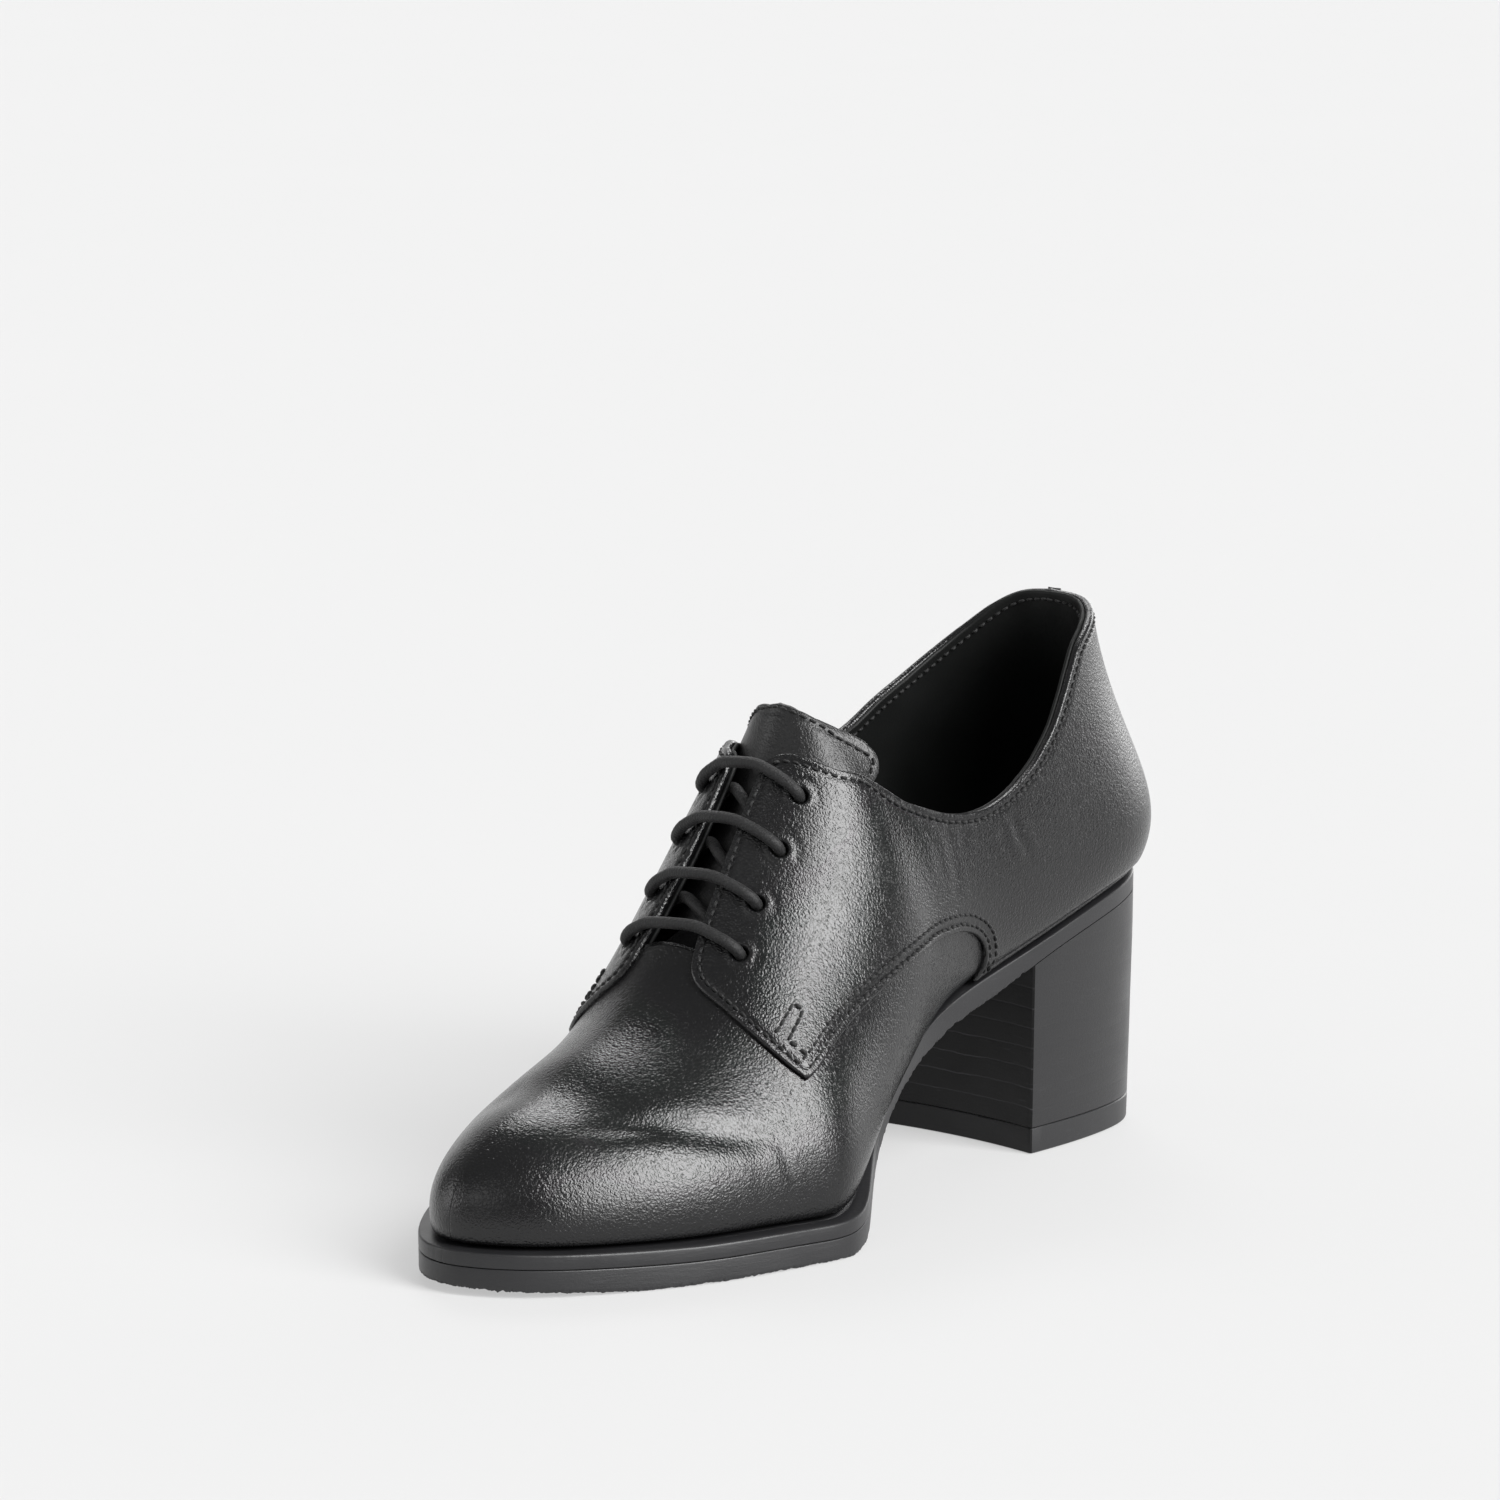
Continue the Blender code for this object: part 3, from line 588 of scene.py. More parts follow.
def plain_leather(name, tone, rough, scale=1500, grain=.3):
    """Smooth lining leather with pores."""
    m, nodes, links, shader = new_material(name)
    at = object_coords(nodes, links)
    pores = node(nodes, "ShaderNodeTexNoise", Scale=float(scale), Detail=4.0, Roughness=.65)
    links.new(at, pores.inputs["Vector"])
    broad = node(nodes, "ShaderNodeTexNoise", Scale=45.0, Detail=3.0)
    links.new(at, broad.inputs["Vector"])
    bump = node(nodes, "ShaderNodeBump", Strength=grain, Distance=.0002)
    links.new(pores.outputs["Fac"], bump.inputs["Height"])
    links.new(bump.outputs["Normal"], shader.inputs["Normal"])
    links.new(remap(nodes, links, broad.outputs["Fac"], .3, .7, rough - .06, rough + .08), shader.inputs["Roughness"])
    links.new(mix_colour(nodes, links, broad.outputs["Fac"], tuple(c * .75 for c in tone), tuple(c * 1.2 for c in tone)),
              shader.inputs["Base Color"])
    shader.inputs["Specular IOR Level"].default_value = .2
    return m


def sole_edge_material(name, tone, rough, lines_per_m=0.0, line_strength=.0, pale=(.06, .06, .065), grain=.35, worn=.5, line_depth=1.2, gloss=.5):
    """Inked and burnished leather edge: drawn horizontal fibres, stacked layers where there are some."""
    m, nodes, links, shader = new_material(name)
    at = object_coords(nodes, links, (1, 1, 9))
    fibre = node(nodes, "ShaderNodeTexNoise", Scale=150.0, Detail=5.0, Roughness=.65)
    links.new(at, fibre.inputs["Vector"])
    plain = object_coords(nodes, links)
    broad = node(nodes, "ShaderNodeTexNoise", Scale=60.0, Detail=4.0)
    links.new(plain, broad.inputs["Vector"])
    pits = node(nodes, "ShaderNodeTexNoise", Scale=1400.0, Detail=3.0)
    links.new(plain, pits.inputs["Vector"])
    height = math_node(nodes, links, "ADD", math_node(nodes, links, "MULTIPLY", fibre.outputs["Fac"], .8),
                       math_node(nodes, links, "MULTIPLY", pits.outputs["Fac"], .35))
    scratch = remap(nodes, links, fibre.outputs["Fac"], .62, .80, 0.0, worn)
    factor = scratch
    if lines_per_m:
        split = nodes.new("ShaderNodeSeparateXYZ")
        links.new(plain, split.inputs["Vector"])
        wave = math_node(nodes, links, "ADD", split.outputs["Z"],
                         math_node(nodes, links, "MULTIPLY", broad.outputs["Fac"], .0022))
        phase = math_node(nodes, links, "FRACT", math_node(nodes, links, "MULTIPLY", wave, lines_per_m), 0.0)
        dist = math_node(nodes, links, "ABSOLUTE", math_node(nodes, links, "SUBTRACT", phase, .5), 0.0)
        line = remap(nodes, links, dist, .0, .055, 1.0, 0.0)
        gaps = remap(nodes, links, broad.outputs["Fac"], .40, .62, 0.1, 1.0)
        line = math_node(nodes, links, "MULTIPLY", line, gaps)
        height = math_node(nodes, links, "SUBTRACT", height, math_node(nodes, links, "MULTIPLY", line, line_depth))
        factor = math_node(nodes, links, "MAXIMUM", scratch, math_node(nodes, links, "MULTIPLY", line, line_strength))
    bump = node(nodes, "ShaderNodeBump", Strength=grain, Distance=.00025)
    links.new(height, bump.inputs["Height"])
    links.new(bump.outputs["Normal"], shader.inputs["Normal"])
    links.new(remap(nodes, links, broad.outputs["Fac"], .3, .7, rough - .05, rough + .08), shader.inputs["Roughness"])
    links.new(mix_colour(nodes, links, factor, tone, pale), shader.inputs["Base Color"])
    shader.inputs["Specular IOR Level"].default_value = gloss
    return m


def cord_material(name, tone):
    m, nodes, links, shader = new_material(name)
    at = object_coords(nodes, links)
    fuzz = node(nodes, "ShaderNodeTexNoise", Scale=1700.0, Detail=4.0, Roughness=.7)
    links.new(at, fuzz.inputs["Vector"])
    bump = node(nodes, "ShaderNodeBump", Strength=.8, Distance=.0003)
    links.new(fuzz.outputs["Fac"], bump.inputs["Height"])
    links.new(bump.outputs["Normal"], shader.inputs["Normal"])
    links.new(mix_colour(nodes, links, fuzz.outputs["Fac"], tuple(c * .5 for c in tone), tuple(c * 1.7 for c in tone)),
              shader.inputs["Base Color"])
    links.new(remap(nodes, links, fuzz.outputs["Fac"], .3, .7, .42, .65), shader.inputs["Roughness"])
    shader.inputs["Specular IOR Level"].default_value = .4
    shader.inputs["Sheen Weight"].default_value = .06
    shader.inputs["Sheen Roughness"].default_value = .5
    return m


calf_black = calf("calf_black", (.0046, .0046, .0050), .22, grain=1.0, deep=.00012)
calf_tongue = calf("calf_tongue", (.0048, .0048, .0051), .38, grain=1.0, deep=.00013)
lining_black = plain_leather("lining_black", (.0050, .0054, .0052), .50)
sock_black = plain_leather("sock_black", (.0055, .0055, .0057), .50)
welt_black = sole_edge_material("welt_black", (.012, .012, .0130), .38, worn=.30)
outsole_black = sole_edge_material("outsole_black", (.012, .012, .0130), .40, worn=.40)
heel_black = sole_edge_material("heel_black", (.010, .010, .0108), .34, lines_per_m=200.0, line_strength=.03, line_depth=.06, worn=.22)
# The darker tone of the breast materials is partly painted shade, because the front of the heel and top piece stands in
# shade, and partly the darker inked breast. Their pale lines are the stacked lifts.
heel_breast_tone_and_shade = sole_edge_material("heel_breast_tone_and_shade", (.0035, .0035, .0038), .55, lines_per_m=200.0, line_strength=.55, line_depth=1.0, worn=.30, gloss=.25)
rubber_breast_tone_and_shade = sole_edge_material("rubber_breast_tone_and_shade", (.006, .006, .0065), .55, worn=.2, grain=.25, gloss=.3)
rubber_black = sole_edge_material("rubber_black", (.012, .012, .0130), .42, worn=.2, grain=.25)
cord_black = cord_material("cord_black", (.0055, .0055, .0058))
thread_black = cord_material("thread_black", (.0040, .0040, .0042))


def ride(ob, slot, *nodes_replaced):
    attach(ob, "root")
    if nodes_replaced:
        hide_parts(*nodes_replaced)


# ------------------------------------------------------------------ quarters and lining
_phis = np.linspace(0, math.pi, 500)
_line = last_point(1, _phis, .45)
_arc = np.concatenate([[0], np.cumsum(np.linalg.norm(np.diff(_line, axis=0), axis=1))])
HIGH = 80.0


def flat_of(side, u, share):
    return np.stack([side * np.interp(turn(u), _phis, _arc), np.asarray(share, float) * HIGH], -1)


def quarter_to_last(pts):
    side = np.where(pts[:, 0] >= 0, 1.0, -1.0)
    return side, np.interp(np.abs(pts[:, 0]), _arc, _phis), np.clip(pts[:, 1] / HIGH, 0, 1)


def table_path(rows, side, step=.8):
    return smooth_path(flat_of(side, np.array([r[0] for r in rows]), np.array([r[1] for r in rows])), step)


top_line = {s: table_path(FACING_AND_COLLAR[s], s) for s in (1, -1)}       # corner -> back
low_line = {s: table_path(LOWER_EDGE, s) for s in (1, -1)}                 # sole -> corner
for s in (1, -1):
    top_line[s][-1, 0] = 0.0
bottom = even(np.array([low_line[-1][0], low_line[1][0]]), 1.0)
outline = np.concatenate([bottom[:-1], low_line[1][:-1], top_line[1][:-1], top_line[-1][::-1][:-1], low_line[-1][::-1][:-1]])

eyelet_loops = []
for u, inner, outer in EYELETS:
    for side, share in ((1, inner), (-1, outer)):
        centre = flat_of(side, u, share)
        e = .5
        base = surface(*quarter_to_last(centre[None]))[0][0]
        ex = (surface(*quarter_to_last((centre + (e, 0))[None]))[0][0] - base) / e
        ey = (surface(*quarter_to_last((centre + (0, e))[None]))[0][0] - base) / e
        jac = np.stack([ex, ey], 1)
        q, r = np.linalg.qr(jac)
        back = np.linalg.inv(r)
        ring = [centre + back @ (EYELET_R * np.array([math.cos(t), math.sin(t)])) for t in
                np.linspace(0, 2 * math.pi, 28, endpoint=False)]
        eyelet_loops.append(np.array(ring))

RINGS = [.12, .30, .55, .85, 1.2, 1.6, 2.0, 2.4, 2.8, 3.3]
quarter_flat = triangulated(outline, eyelet_loops, RINGS, 1.45)
low_share = Spline([(float(turn(u)), s) for u, s in LOWER_EDGE[2:]])


def over_vamp(phi, share):
    """1 where the quarter lies on the vamp, 0 further up."""
    low = np.where(phi < float(turn(81)), -.2, low_share(np.maximum(phi, float(turn(81)))))
    return 1 - smooth((share - low - .10) / .10)


def quarter_under(phi, share):
    return -.75 + .80 * over_vamp(phi, share)


def quarter_top(d, side, phi, share):
    under = quarter_under(phi, share)
    mid = (QUARTER_PROUD + under) / 2
    h = mid + (QUARTER_PROUD - mid) * rounded(d, .62)
    h = h - .26 * np.exp(-((d - 2.2) / .50) ** 2)
    return h


def quarter_low(d, side, phi, share):
    under = quarter_under(phi, share)
    mid = (QUARTER_PROUD + under) / 2
    return mid + (under - mid) * rounded(d, .62)


quarters = Panel("quarters", quarter_flat, quarter_to_last, quarter_top, quarter_low, calf_black, ease=28, ease_back=0.0)
ride(quarters.object, "upper", "upper")

lining = Panel("quarter_lining", quarter_flat, quarter_to_last,
               lambda d, side, phi, share: -1.30 + .52 * rounded(d, .55) + 0 * d,
               lambda d, side, phi, share: -1.30 + (LINING_LOW + 1.30) * rounded(d, .55), lining_black, ease=28, ease_back=0.0)
ride(lining.object, "upper")

# ------------------------------------------------------------------ vamp
COLUMNS = 230
LOW_ROWS, TOP_ROWS = 40, 46
vamp_phis = np.concatenate([np.linspace(float(turn(72)), float(turn(VAMP_THROAT)), 84, endpoint=False),
                            np.linspace(float(turn(VAMP_THROAT)), math.pi, COLUMNS - 84)])
strips = {1: [], -1: []}
for side in (1, -1):
    for phi in vamp_phis:
        u = float(along(phi))
        tuck = float(low_share(max(phi, float(turn(81))))) + .09
        if u < VAMP_THROAT - 1e-6:
            shares = np.linspace(0, min(tuck, .52) if u > 90 else tuck, LOW_ROWS + 1)
        else:
            shares = np.concatenate([np.linspace(0, .52, LOW_ROWS + 1), np.linspace(.52, 1, TOP_ROWS + 1)[1:]])
        strips[side].append(shares)
vamp_verts, vamp_faces, offset = [], [], 0
index = {}
for side in (1, -1):
    for k, phi in enumerate(vamp_phis):
        shares = strips[side][k]
        p, n = surface(np.full(len(shares), float(side)), np.full(len(shares), phi), shares)
        bump = relief(np.full(len(shares), float(side)), np.full(len(shares), phi), shares, p)
        foot = -.9 * (1 - rounded(shares * 75, 1.6))
        vamp_verts.append(p + n * (bump + foot)[:, None])
        index[side, k] = offset
        offset += len(shares)
vamp_verts = np.concatenate(vamp_verts)
# ease the ridge and the toe, where the two sides meet
first_full = next(k for k, phi in enumerate(vamp_phis) if along(phi) >= VAMP_THROAT - 1e-6)
full = LOW_ROWS + TOP_ROWS + 1
grid = np.stack([np.concatenate([vamp_verts[index[1, k]:index[1, k] + full],
                                 vamp_verts[index[-1, k]:index[-1, k] + full - 1][::-1]])
                 for k in range(first_full, len(vamp_phis))])
middle = full - 1
for _ in range(60):
    near = grid[:, middle - 12:middle + 13].copy()
    eased = near.copy()
    eased[:, 1:-1] = (near[:, :-2] + 2 * near[:, 1:-1] + near[:, 2:]) / 4
    weight = np.clip(1 - np.abs(np.arange(-12, 13)) / 12.0, 0, 1)[None, :, None]
    grid[:, middle - 12:middle + 13] = near + (eased - near) * weight
for j, k in enumerate(range(first_full, len(vamp_phis))):
    vamp_verts[index[1, k]:index[1, k] + full] = grid[j, :full]
    vamp_verts[index[-1, k]:index[-1, k] + full] = np.concatenate([grid[j, full:][::-1], grid[j, middle:middle + 1]])
for side in (1, -1):
    for k in range(len(vamp_phis) - 1):
        a, b = index[side, k], index[side, k + 1]
        for j in range(min(len(strips[side][k]), len(strips[side][k + 1])) - 1):
            quad = (a + j, a + j + 1, b + j + 1, b + j)
            vamp_faces.append(quad if side > 0 else quad[::-1])
vamp = mesh_object("vamp", vamp_verts, vamp_faces, calf_black)
face_out(vamp)
votes = sum((p.center - Vector(row_frame(np.array([2, 190, 20])))).dot(p.normal) * p.area for p in vamp.data.polygons
            if p.center.y < -0.03)
if votes < 0:
    vamp.data.flip_normals()
thick = vamp.modifiers.new("leather", "SOLIDIFY")
thick.thickness = 1.5 * MM
thick.offset = -1
ride(vamp, "upper")


# ------------------------------------------------------------------ tongue
def tongue_to_last(pts):
    b = pts[:, 1] / 95.0
    return np.where(b >= 0, 1.0, -1.0), turn(pts[:, 0]), 1 - np.abs(b)


half = [(u, (1 - s) * 95.0) for s, u in TONGUE_EDGE]
tongue_line = smooth_path(np.array([(u, -y) for u, y in half[::-1]] + half[1:]), .8)
tongue_foot = even(np.array([tongue_line[-1], tongue_line[0]]), 1.2)[1:-1]
tongue_outline = np.concatenate([tongue_line, tongue_foot])
tongue_flat = triangulated(tongue_outline, [], RINGS, 1.4)


def tongue_down(side, phi, share, p):
    u = along(phi)
    stands_off = np.where(side < 0, 2.6 * smooth((1 - share) / .16) * smooth((114 - u) / 9), 0)     # the outer wing stands up a little
    return -1.9 - 2.9 * smooth((u - 112) / 9) + stands_off


TONGUE_THICK = 1.7
tongue = Panel("tongue_leather", tongue_flat, tongue_to_last,
               lambda d, side, phi, share: -TONGUE_THICK / 2 * (1 - rounded(d, .7)) - .14 * np.exp(-((d - 2.4) / .42) ** 2),
               lambda d, side, phi, share: -TONGUE_THICK / 2 * (1 + rounded(d, .7)), calf_tongue, tongue_down, ease=60, ease_back=0.0)
ride(tongue.object, "tongue", "tongue")

# ------------------------------------------------------------------ stitches
stitch_verts, stitch_faces = [], []


def thread(points, normals, radius, sides=6):
    """A short length of thread along points."""
    pts = np.asarray(points)
    t = unit(np.gradient(pts, axis=0))
    n = unit(normals - (normals * t).sum(1)[:, None] * t)
    b = np.cross(t, n)
    base = sum(len(v) for v in stitch_verts)
    ang = np.linspace(0, 2 * math.pi, sides, endpoint=False)
    scale = np.clip(np.minimum(np.arange(len(pts)), np.arange(len(pts))[::-1]) / 1.0, .45, 1)
    ring = (pts[:, None, :] + radius * scale[:, None, None] * (np.cos(ang)[None, :, None] * n[:, None, :]
                                                                + np.sin(ang)[None, :, None] * b[:, None, :]))
    stitch_verts.append(ring.reshape(-1, 3))
    for k in range(len(pts) - 1):
        for j in range(sides):
            a, c = base + k * sides + j, base + k * sides + (j + 1) % sides
            stitch_faces.append((a, c, c + sides, a + sides))
    stitch_faces.append(tuple(base + j for j in range(sides))[::-1])
    stitch_faces.append(tuple(base + (len(pts) - 1) * sides + j for j in range(sides)))


def stitch_along(path, normals, pitch, long, radius=.34, up=.10, slant=.0):
    """Lockstitches of even pitch along a path on a panel's face."""
    d = np.concatenate([[0], np.cumsum(np.linalg.norm(np.diff(path, axis=0), axis=1))])
    count = int(d[-1] / pitch)
    if count < 1:
        return
    pitch = d[-1] / count
    for i in range(count):
        s = np.linspace(i * pitch + (pitch - long) / 2, i * pitch + (pitch + long) / 2, 6)
        p = np.stack([np.interp(s, d, path[:, k]) for k in range(3)], 1)
        n = unit(np.stack([np.interp(s, d, normals[:, k]) for k in range(3)], 1))
        across = unit(np.cross(n, np.gradient(p, axis=0)))
        bow = np.sin(np.linspace(0, math.pi, 6)) ** .6
        p = p + n * ((up + radius * .55) * bow - radius * .9 * (1 - bow))[:, None]
        p = p + across * (slant * np.linspace(-1, 1, 6) + rng.normal(0, .03))[:, None]
        thread(p, n, radius)


def inset_path(panel, flat_line, to_last, distance, closed_normal=None):
    """Path on the face of a panel, a distance inside one of its edges."""
    side, phi, share = to_last(flat_line)
    p, n = surface(side, phi, share)
    t = unit(np.gradient(p, axis=0))
    inward = np.cross(n, t)
    probe = flat_line + unit(np.stack([-np.gradient(flat_line[:, 1]), np.gradient(flat_line[:, 0])], 1)) * .5
    inside = in_polygon(closed_normal, probe)
    q, _ = surface(*to_last(probe))
    sign = np.sign(((q - p) * inward).sum(1).sum()) * (1 if inside.mean() > .5 else -1)
    path = np.array([panel.on_top(a + h * sign * distance + m * 1.2) for a, h, m in zip(p, inward, n)])
    for _ in range(6):
        path[1:-1] = (path[:-2] + 2 * path[1:-1] + path[2:]) / 4
    return path, n


def cut(line, start, end):
    """Part of a line between two shares of its length."""
    n = len(line) - 1
    return line[int(round(start * n)):int(round(end * n)) + 1]


for s in (1, -1):
    n_top = len(top_line[s])
    # one row right round the front, the facing and the collar
    path, nor = inset_path(quarters, top_line[s][4:], quarter_to_last, 2.2, outline)
    stitch_along(path, nor, 2.35, 1.75, slant=.06)
    # the same row shows on the lining inside the collar
    collar = along(quarter_to_last(top_line[s][4:])[1]) < 112
    inner_row = np.array([lining.on_low(q - m * 4.0) for q, m in zip(path[collar], nor[collar])])
    for _ in range(4):
        inner_row[1:-1] = (inner_row[:-2] + 2 * inner_row[1:-1] + inner_row[2:]) / 4
    stitch_along(inner_row, -nor[collar], 2.35, 1.75, slant=.06)
    # two rows along the lower edge
    for distance, trim in ((1.9, 0), (4.2, 0)):
        line = low_line[s][3:-3 - trim]
        path, nor = inset_path(quarters, line, quarter_to_last, distance, outline)
        stitch_along(path, nor, 2.3, 1.7, slant=.06)

# the corner tack: up from the front row, across, down and along to the second lower row
TACK = [(160.1, .565), (152.5, .574), (151.8, .542), (158.9, .526), (157.4, .455)]
for s in (1, -1):
    corners = flat_of(s, np.array([t[0] for t in TACK]), np.array([t[1] for t in TACK]))
    for a, b in zip(corners, corners[1:]):
        line = even(np.array([a, b]), .6)
        side, phi, share = quarter_to_last(line)
        p, n = surface(side, phi, share)
        path = np.array([quarters.on_top(q + m * 1.2) for q, m in zip(p, n)])
        stitch_along(path, n, 2.1, 2.0, radius=.42)

path, nor = inset_path(tongue, tongue_line[28:-28], tongue_to_last, 2.4, tongue_outline)
nor = surface(*tongue_to_last(tongue_line[28:-28]))[1]
stitch_along(path, nor, 2.5, 1.9)
stitches = mesh_object("seam_stitches", np.concatenate(stitch_verts), stitch_faces, thread_black)
ride(stitches, "upper")


# ------------------------------------------------------------------ sole plates
def plate(name, us, profile, across, mat, slots, wobble=None, replaced=()):
    """Plate round the foot: at each station an edge profile of (inset, z), mirrored, joined across."""
    rings = []
    for k, u in enumerate(us):
        phi = float(turn(u))
        halves = []
        for side in (1, -1):
            rows = profile(u, side, k)
            pts = []
            for inset, z in rows:
                x, uu = inside_edge(side, phi, inset)
                pts.append((float(x), float(uu), z))
            halves.append(np.array(pts))
        inner, outer = halves
        if u <= 0 or u >= SOLE_LENGTH:
            inner[:, 0] = outer[:, 0] = (inner[:, 0] + outer[:, 0]) / 2
        t = np.linspace(0, 1, across + 2)[1:-1, None]
        low = inner[-1] + (outer[-1] - inner[-1]) * t
        high = outer[0] + (inner[0] - outer[0]) * t
        rings.append(np.concatenate([inner, low, outer[::-1], high]))
    n = len(rings[0])
    verts = np.concatenate(rings)
    faces = []
    for k in range(len(rings) - 1):
        for j in range(n):
            a, b = k * n + j, k * n + (j + 1) % n
            faces.append((a, b, b + n, a + n))
    faces.append(tuple(range(n))[::-1])
    faces.append(tuple((len(rings) - 1) * n + j for j in range(n)))
    ob = mesh_object(name, verts, faces, mat)
    face_out(ob)
    ride(ob, slots, *replaced)
    return ob


def round_edge(top, low, r_top, r_low, deep=6.0, steps=5, band=None):
    """Edge profile from the top face over the edge to the bottom face."""
    rows = [(deep, top)]
    for t in np.linspace(0, math.pi / 2, steps):
        rows.append((r_top * (1 - math.sin(t)), top - r_top * (1 - math.cos(t))))
    if band is not None:
        rows.append((0.0, low + band + .25))
        rows.append((0.0, low + band))
    for t in np.linspace(0, math.pi / 2, steps):
        rows.append((r_low * (1 - math.cos(t)), low + r_low * (1 - math.sin(t))))
    rows.append((deep, low))
    return rows


def stations(first, last, count):
    a, b = float(turn(first)), float(turn(last))
    return [float(along(a + (b - a) * k / count)) for k in range(count + 1)]


def ripple(n, seed, scales):
    r = np.random.default_rng(seed)
    out = np.zeros(n)
    for width, amount in scales:
        knots = r.normal(0, 1, int(n / width) + 4)
        out += amount * np.interp(np.arange(n) / width, np.arange(len(knots)), knots)
    return out


WELT_STEPS = 420
welt_noise = {s: ripple(WELT_STEPS + 1, 5 + s, ((6, .012), (20, .03))) for s in (1, -1)}


def welt_profile(u, side, k):
    top = float(seat(u)) - GAP
    low = top - WELT_THICK
    rows = round_edge(top, low + .05, .55, .35)
    w = welt_noise[side][k]
    return [(i + (w if i < 3 else 0), z) for i, z in rows]


plate("welt_strip", stations(WELT_END + GAP, SOLE_LENGTH, WELT_STEPS), welt_profile, 6, welt_black, "welt", replaced=("welt",))

OUT_STEPS = 1100
rag = {s: ripple(OUT_STEPS + 1, 21 + s, ((2, .16), (5, .14), (16, .12))) for s in (1, -1)}
rag2 = {s: ripple(OUT_STEPS + 1, 41 + s, ((2, .14), (6, .14))) for s in (1, -1)}


def outsole_profile(u, side, k):
    front = u > WELT_END
    top = float(seat(u)) - GAP - (WELT_THICK + .04 if front else 0)
    low = float(tread(u))
    rows = round_edge(top, low, .30 if front else .45, .30, band=.75)
    free = float(smooth((u - 61) / 3))
    jag, jag2 = rag[side][k] * free, rag2[side][k] * free
    out = []
    for n, (i, z) in enumerate(rows):
        if 8 <= n <= 12:          # the cut lower edge is left a little ragged
            i, z = i + abs(jag) * .8, max(z + jag2 * .6 + .05 * free, .0)
        out.append((max(i, 0.0), z))
    return out


plate("outsole_layer", stations(0, SOLE_LENGTH, OUT_STEPS), outsole_profile, 8, outsole_black, "outsole", replaced=("outsole",))


def insole_profile(u, side, k):
    inset = float(upper_inset(u)) + INSOLE_INSET - .8
    return [(inset + i, z) for i, z in round_edge(float(seat(u)) + INSOLE_THICK, float(seat(u)) + .15, .6, .2)]


plate("insole_sock", stations(0, SOLE_LENGTH, 200), insole_profile, 8, sock_black, "insole", replaced=("insole",))


# ------------------------------------------------------------------ heel
def heel_outline(count_side, count_breast):
    """D-shaped plan as (x, u) points, anticlockwise from the inner breast corner round the back."""
    h = float(turn(HEEL_LENGTH))
    w = float(edge_in(h))
    r = .5
    pts = []
    for phi in np.linspace(h, 0, count_side):
        pts.append((float(edge_in(phi)), float(along(phi))))
    for phi in np.linspace(0, h, count_side)[1:]:
        pts.append((-float(edge_in(phi)), float(along(phi))))
    for x in np.linspace(-w + r, w - r, count_breast):
        pts.append((x, HEEL_LENGTH - BREAST_SAG * (1 - (x / w) ** 2)))
    pts = np.array(pts)
    pts[0, 1] -= r * .8
    pts[2 * count_side - 2, 1] -= r * .8
    return pts


def heel_mesh(name, levels, mat, slot, replaced, breast):
    """Block on the heel's plan; each level is (z, outset) or (None, outset) for the sloping top."""
    plan = heel_outline(70, 60)
    rings = []
    for z, outset in levels:
        zs = np.full(len(plan), float(z)) if z is not None else tread(plan[:, 1]) - .06
        share = HEEL_TAPER + (1 - HEEL_TAPER) * np.minimum(zs / 50.0, 1)
        xs = plan[:, 0] * (0.98 + 0.02 * np.minimum(zs / 50.0, 1))
        us = HEEL_LENGTH + (plan[:, 1] - HEEL_LENGTH) * share
        mid = np.array([0.0, 32.0])
        away = unit(np.stack([xs, us], 1) - mid)
        rings.append(np.stack([xs + away[:, 0] * outset, us + away[:, 1] * outset, np.minimum(zs, tread(plan[:, 1]) - .06)], 1))
    n = len(plan)
    verts = np.concatenate(rings)
    faces = []
    for k in range(len(rings) - 1):
        for j in range(n):
            a, b = k * n + j, k * n + (j + 1) % n
            faces.append((a, b, b + n, a + n))
    low_mid, top_mid = len(verts), len(verts) + 1
    verts = np.concatenate([verts, [[0, 32, rings[0][0, 2]], [0, 32, float(tread(32.0)) - .06 if levels[-1][0] is None else rings[-1][0, 2]]]])
    for j in range(n):
        faces.append((low_mid, (j + 1) % n, j))
        faces.append((top_mid, (len(rings) - 1) * n + j, (len(rings) - 1) * n + (j + 1) % n))
    ob = mesh_object(name, verts, faces, mat)
    face_out(ob)
    ob.data.materials.append(breast)
    # faces turned to the front take the darker breast material: painted shade on the breast, in part
    for face in ob.data.polygons:
        if face.normal.y < -.75:
            face.material_index = 1
    split = ob.modifiers.new("corners", "EDGE_SPLIT")
    split.split_angle = math.radians(38)
    ride(ob, slot, replaced)
    return ob


lift = 5.0
levels = [(TOP_PIECE + .12, -.25), (TOP_PIECE + .3, 0)]
z = TOP_PIECE + lift
r_lift = np.random.default_rng(4)
while z < 60:
    step = r_lift.normal(0, .012)
    levels += [(z - .5, step), (z - .12, step), (z, -.018 + step), (z + .12, step)]
    z += lift
levels += [(None, 0)]
heel_mesh("heel_stack", levels, heel_black, "heel", "heel", heel_breast_tone_and_shade)
heel_mesh("heel_lift", [(0.0, -.35), (.12, -.12), (.4, 0), (TOP_PIECE - .25, .04), (TOP_PIECE, -.2)], rubber_black,
          "top_piece", "heel_top_piece", rubber_breast_tone_and_shade)


# ------------------------------------------------------------------ lace
def on_last(side, u, share, out):
    p, n = surface(float(side), float(turn(u)), float(share))
    return p + n * out


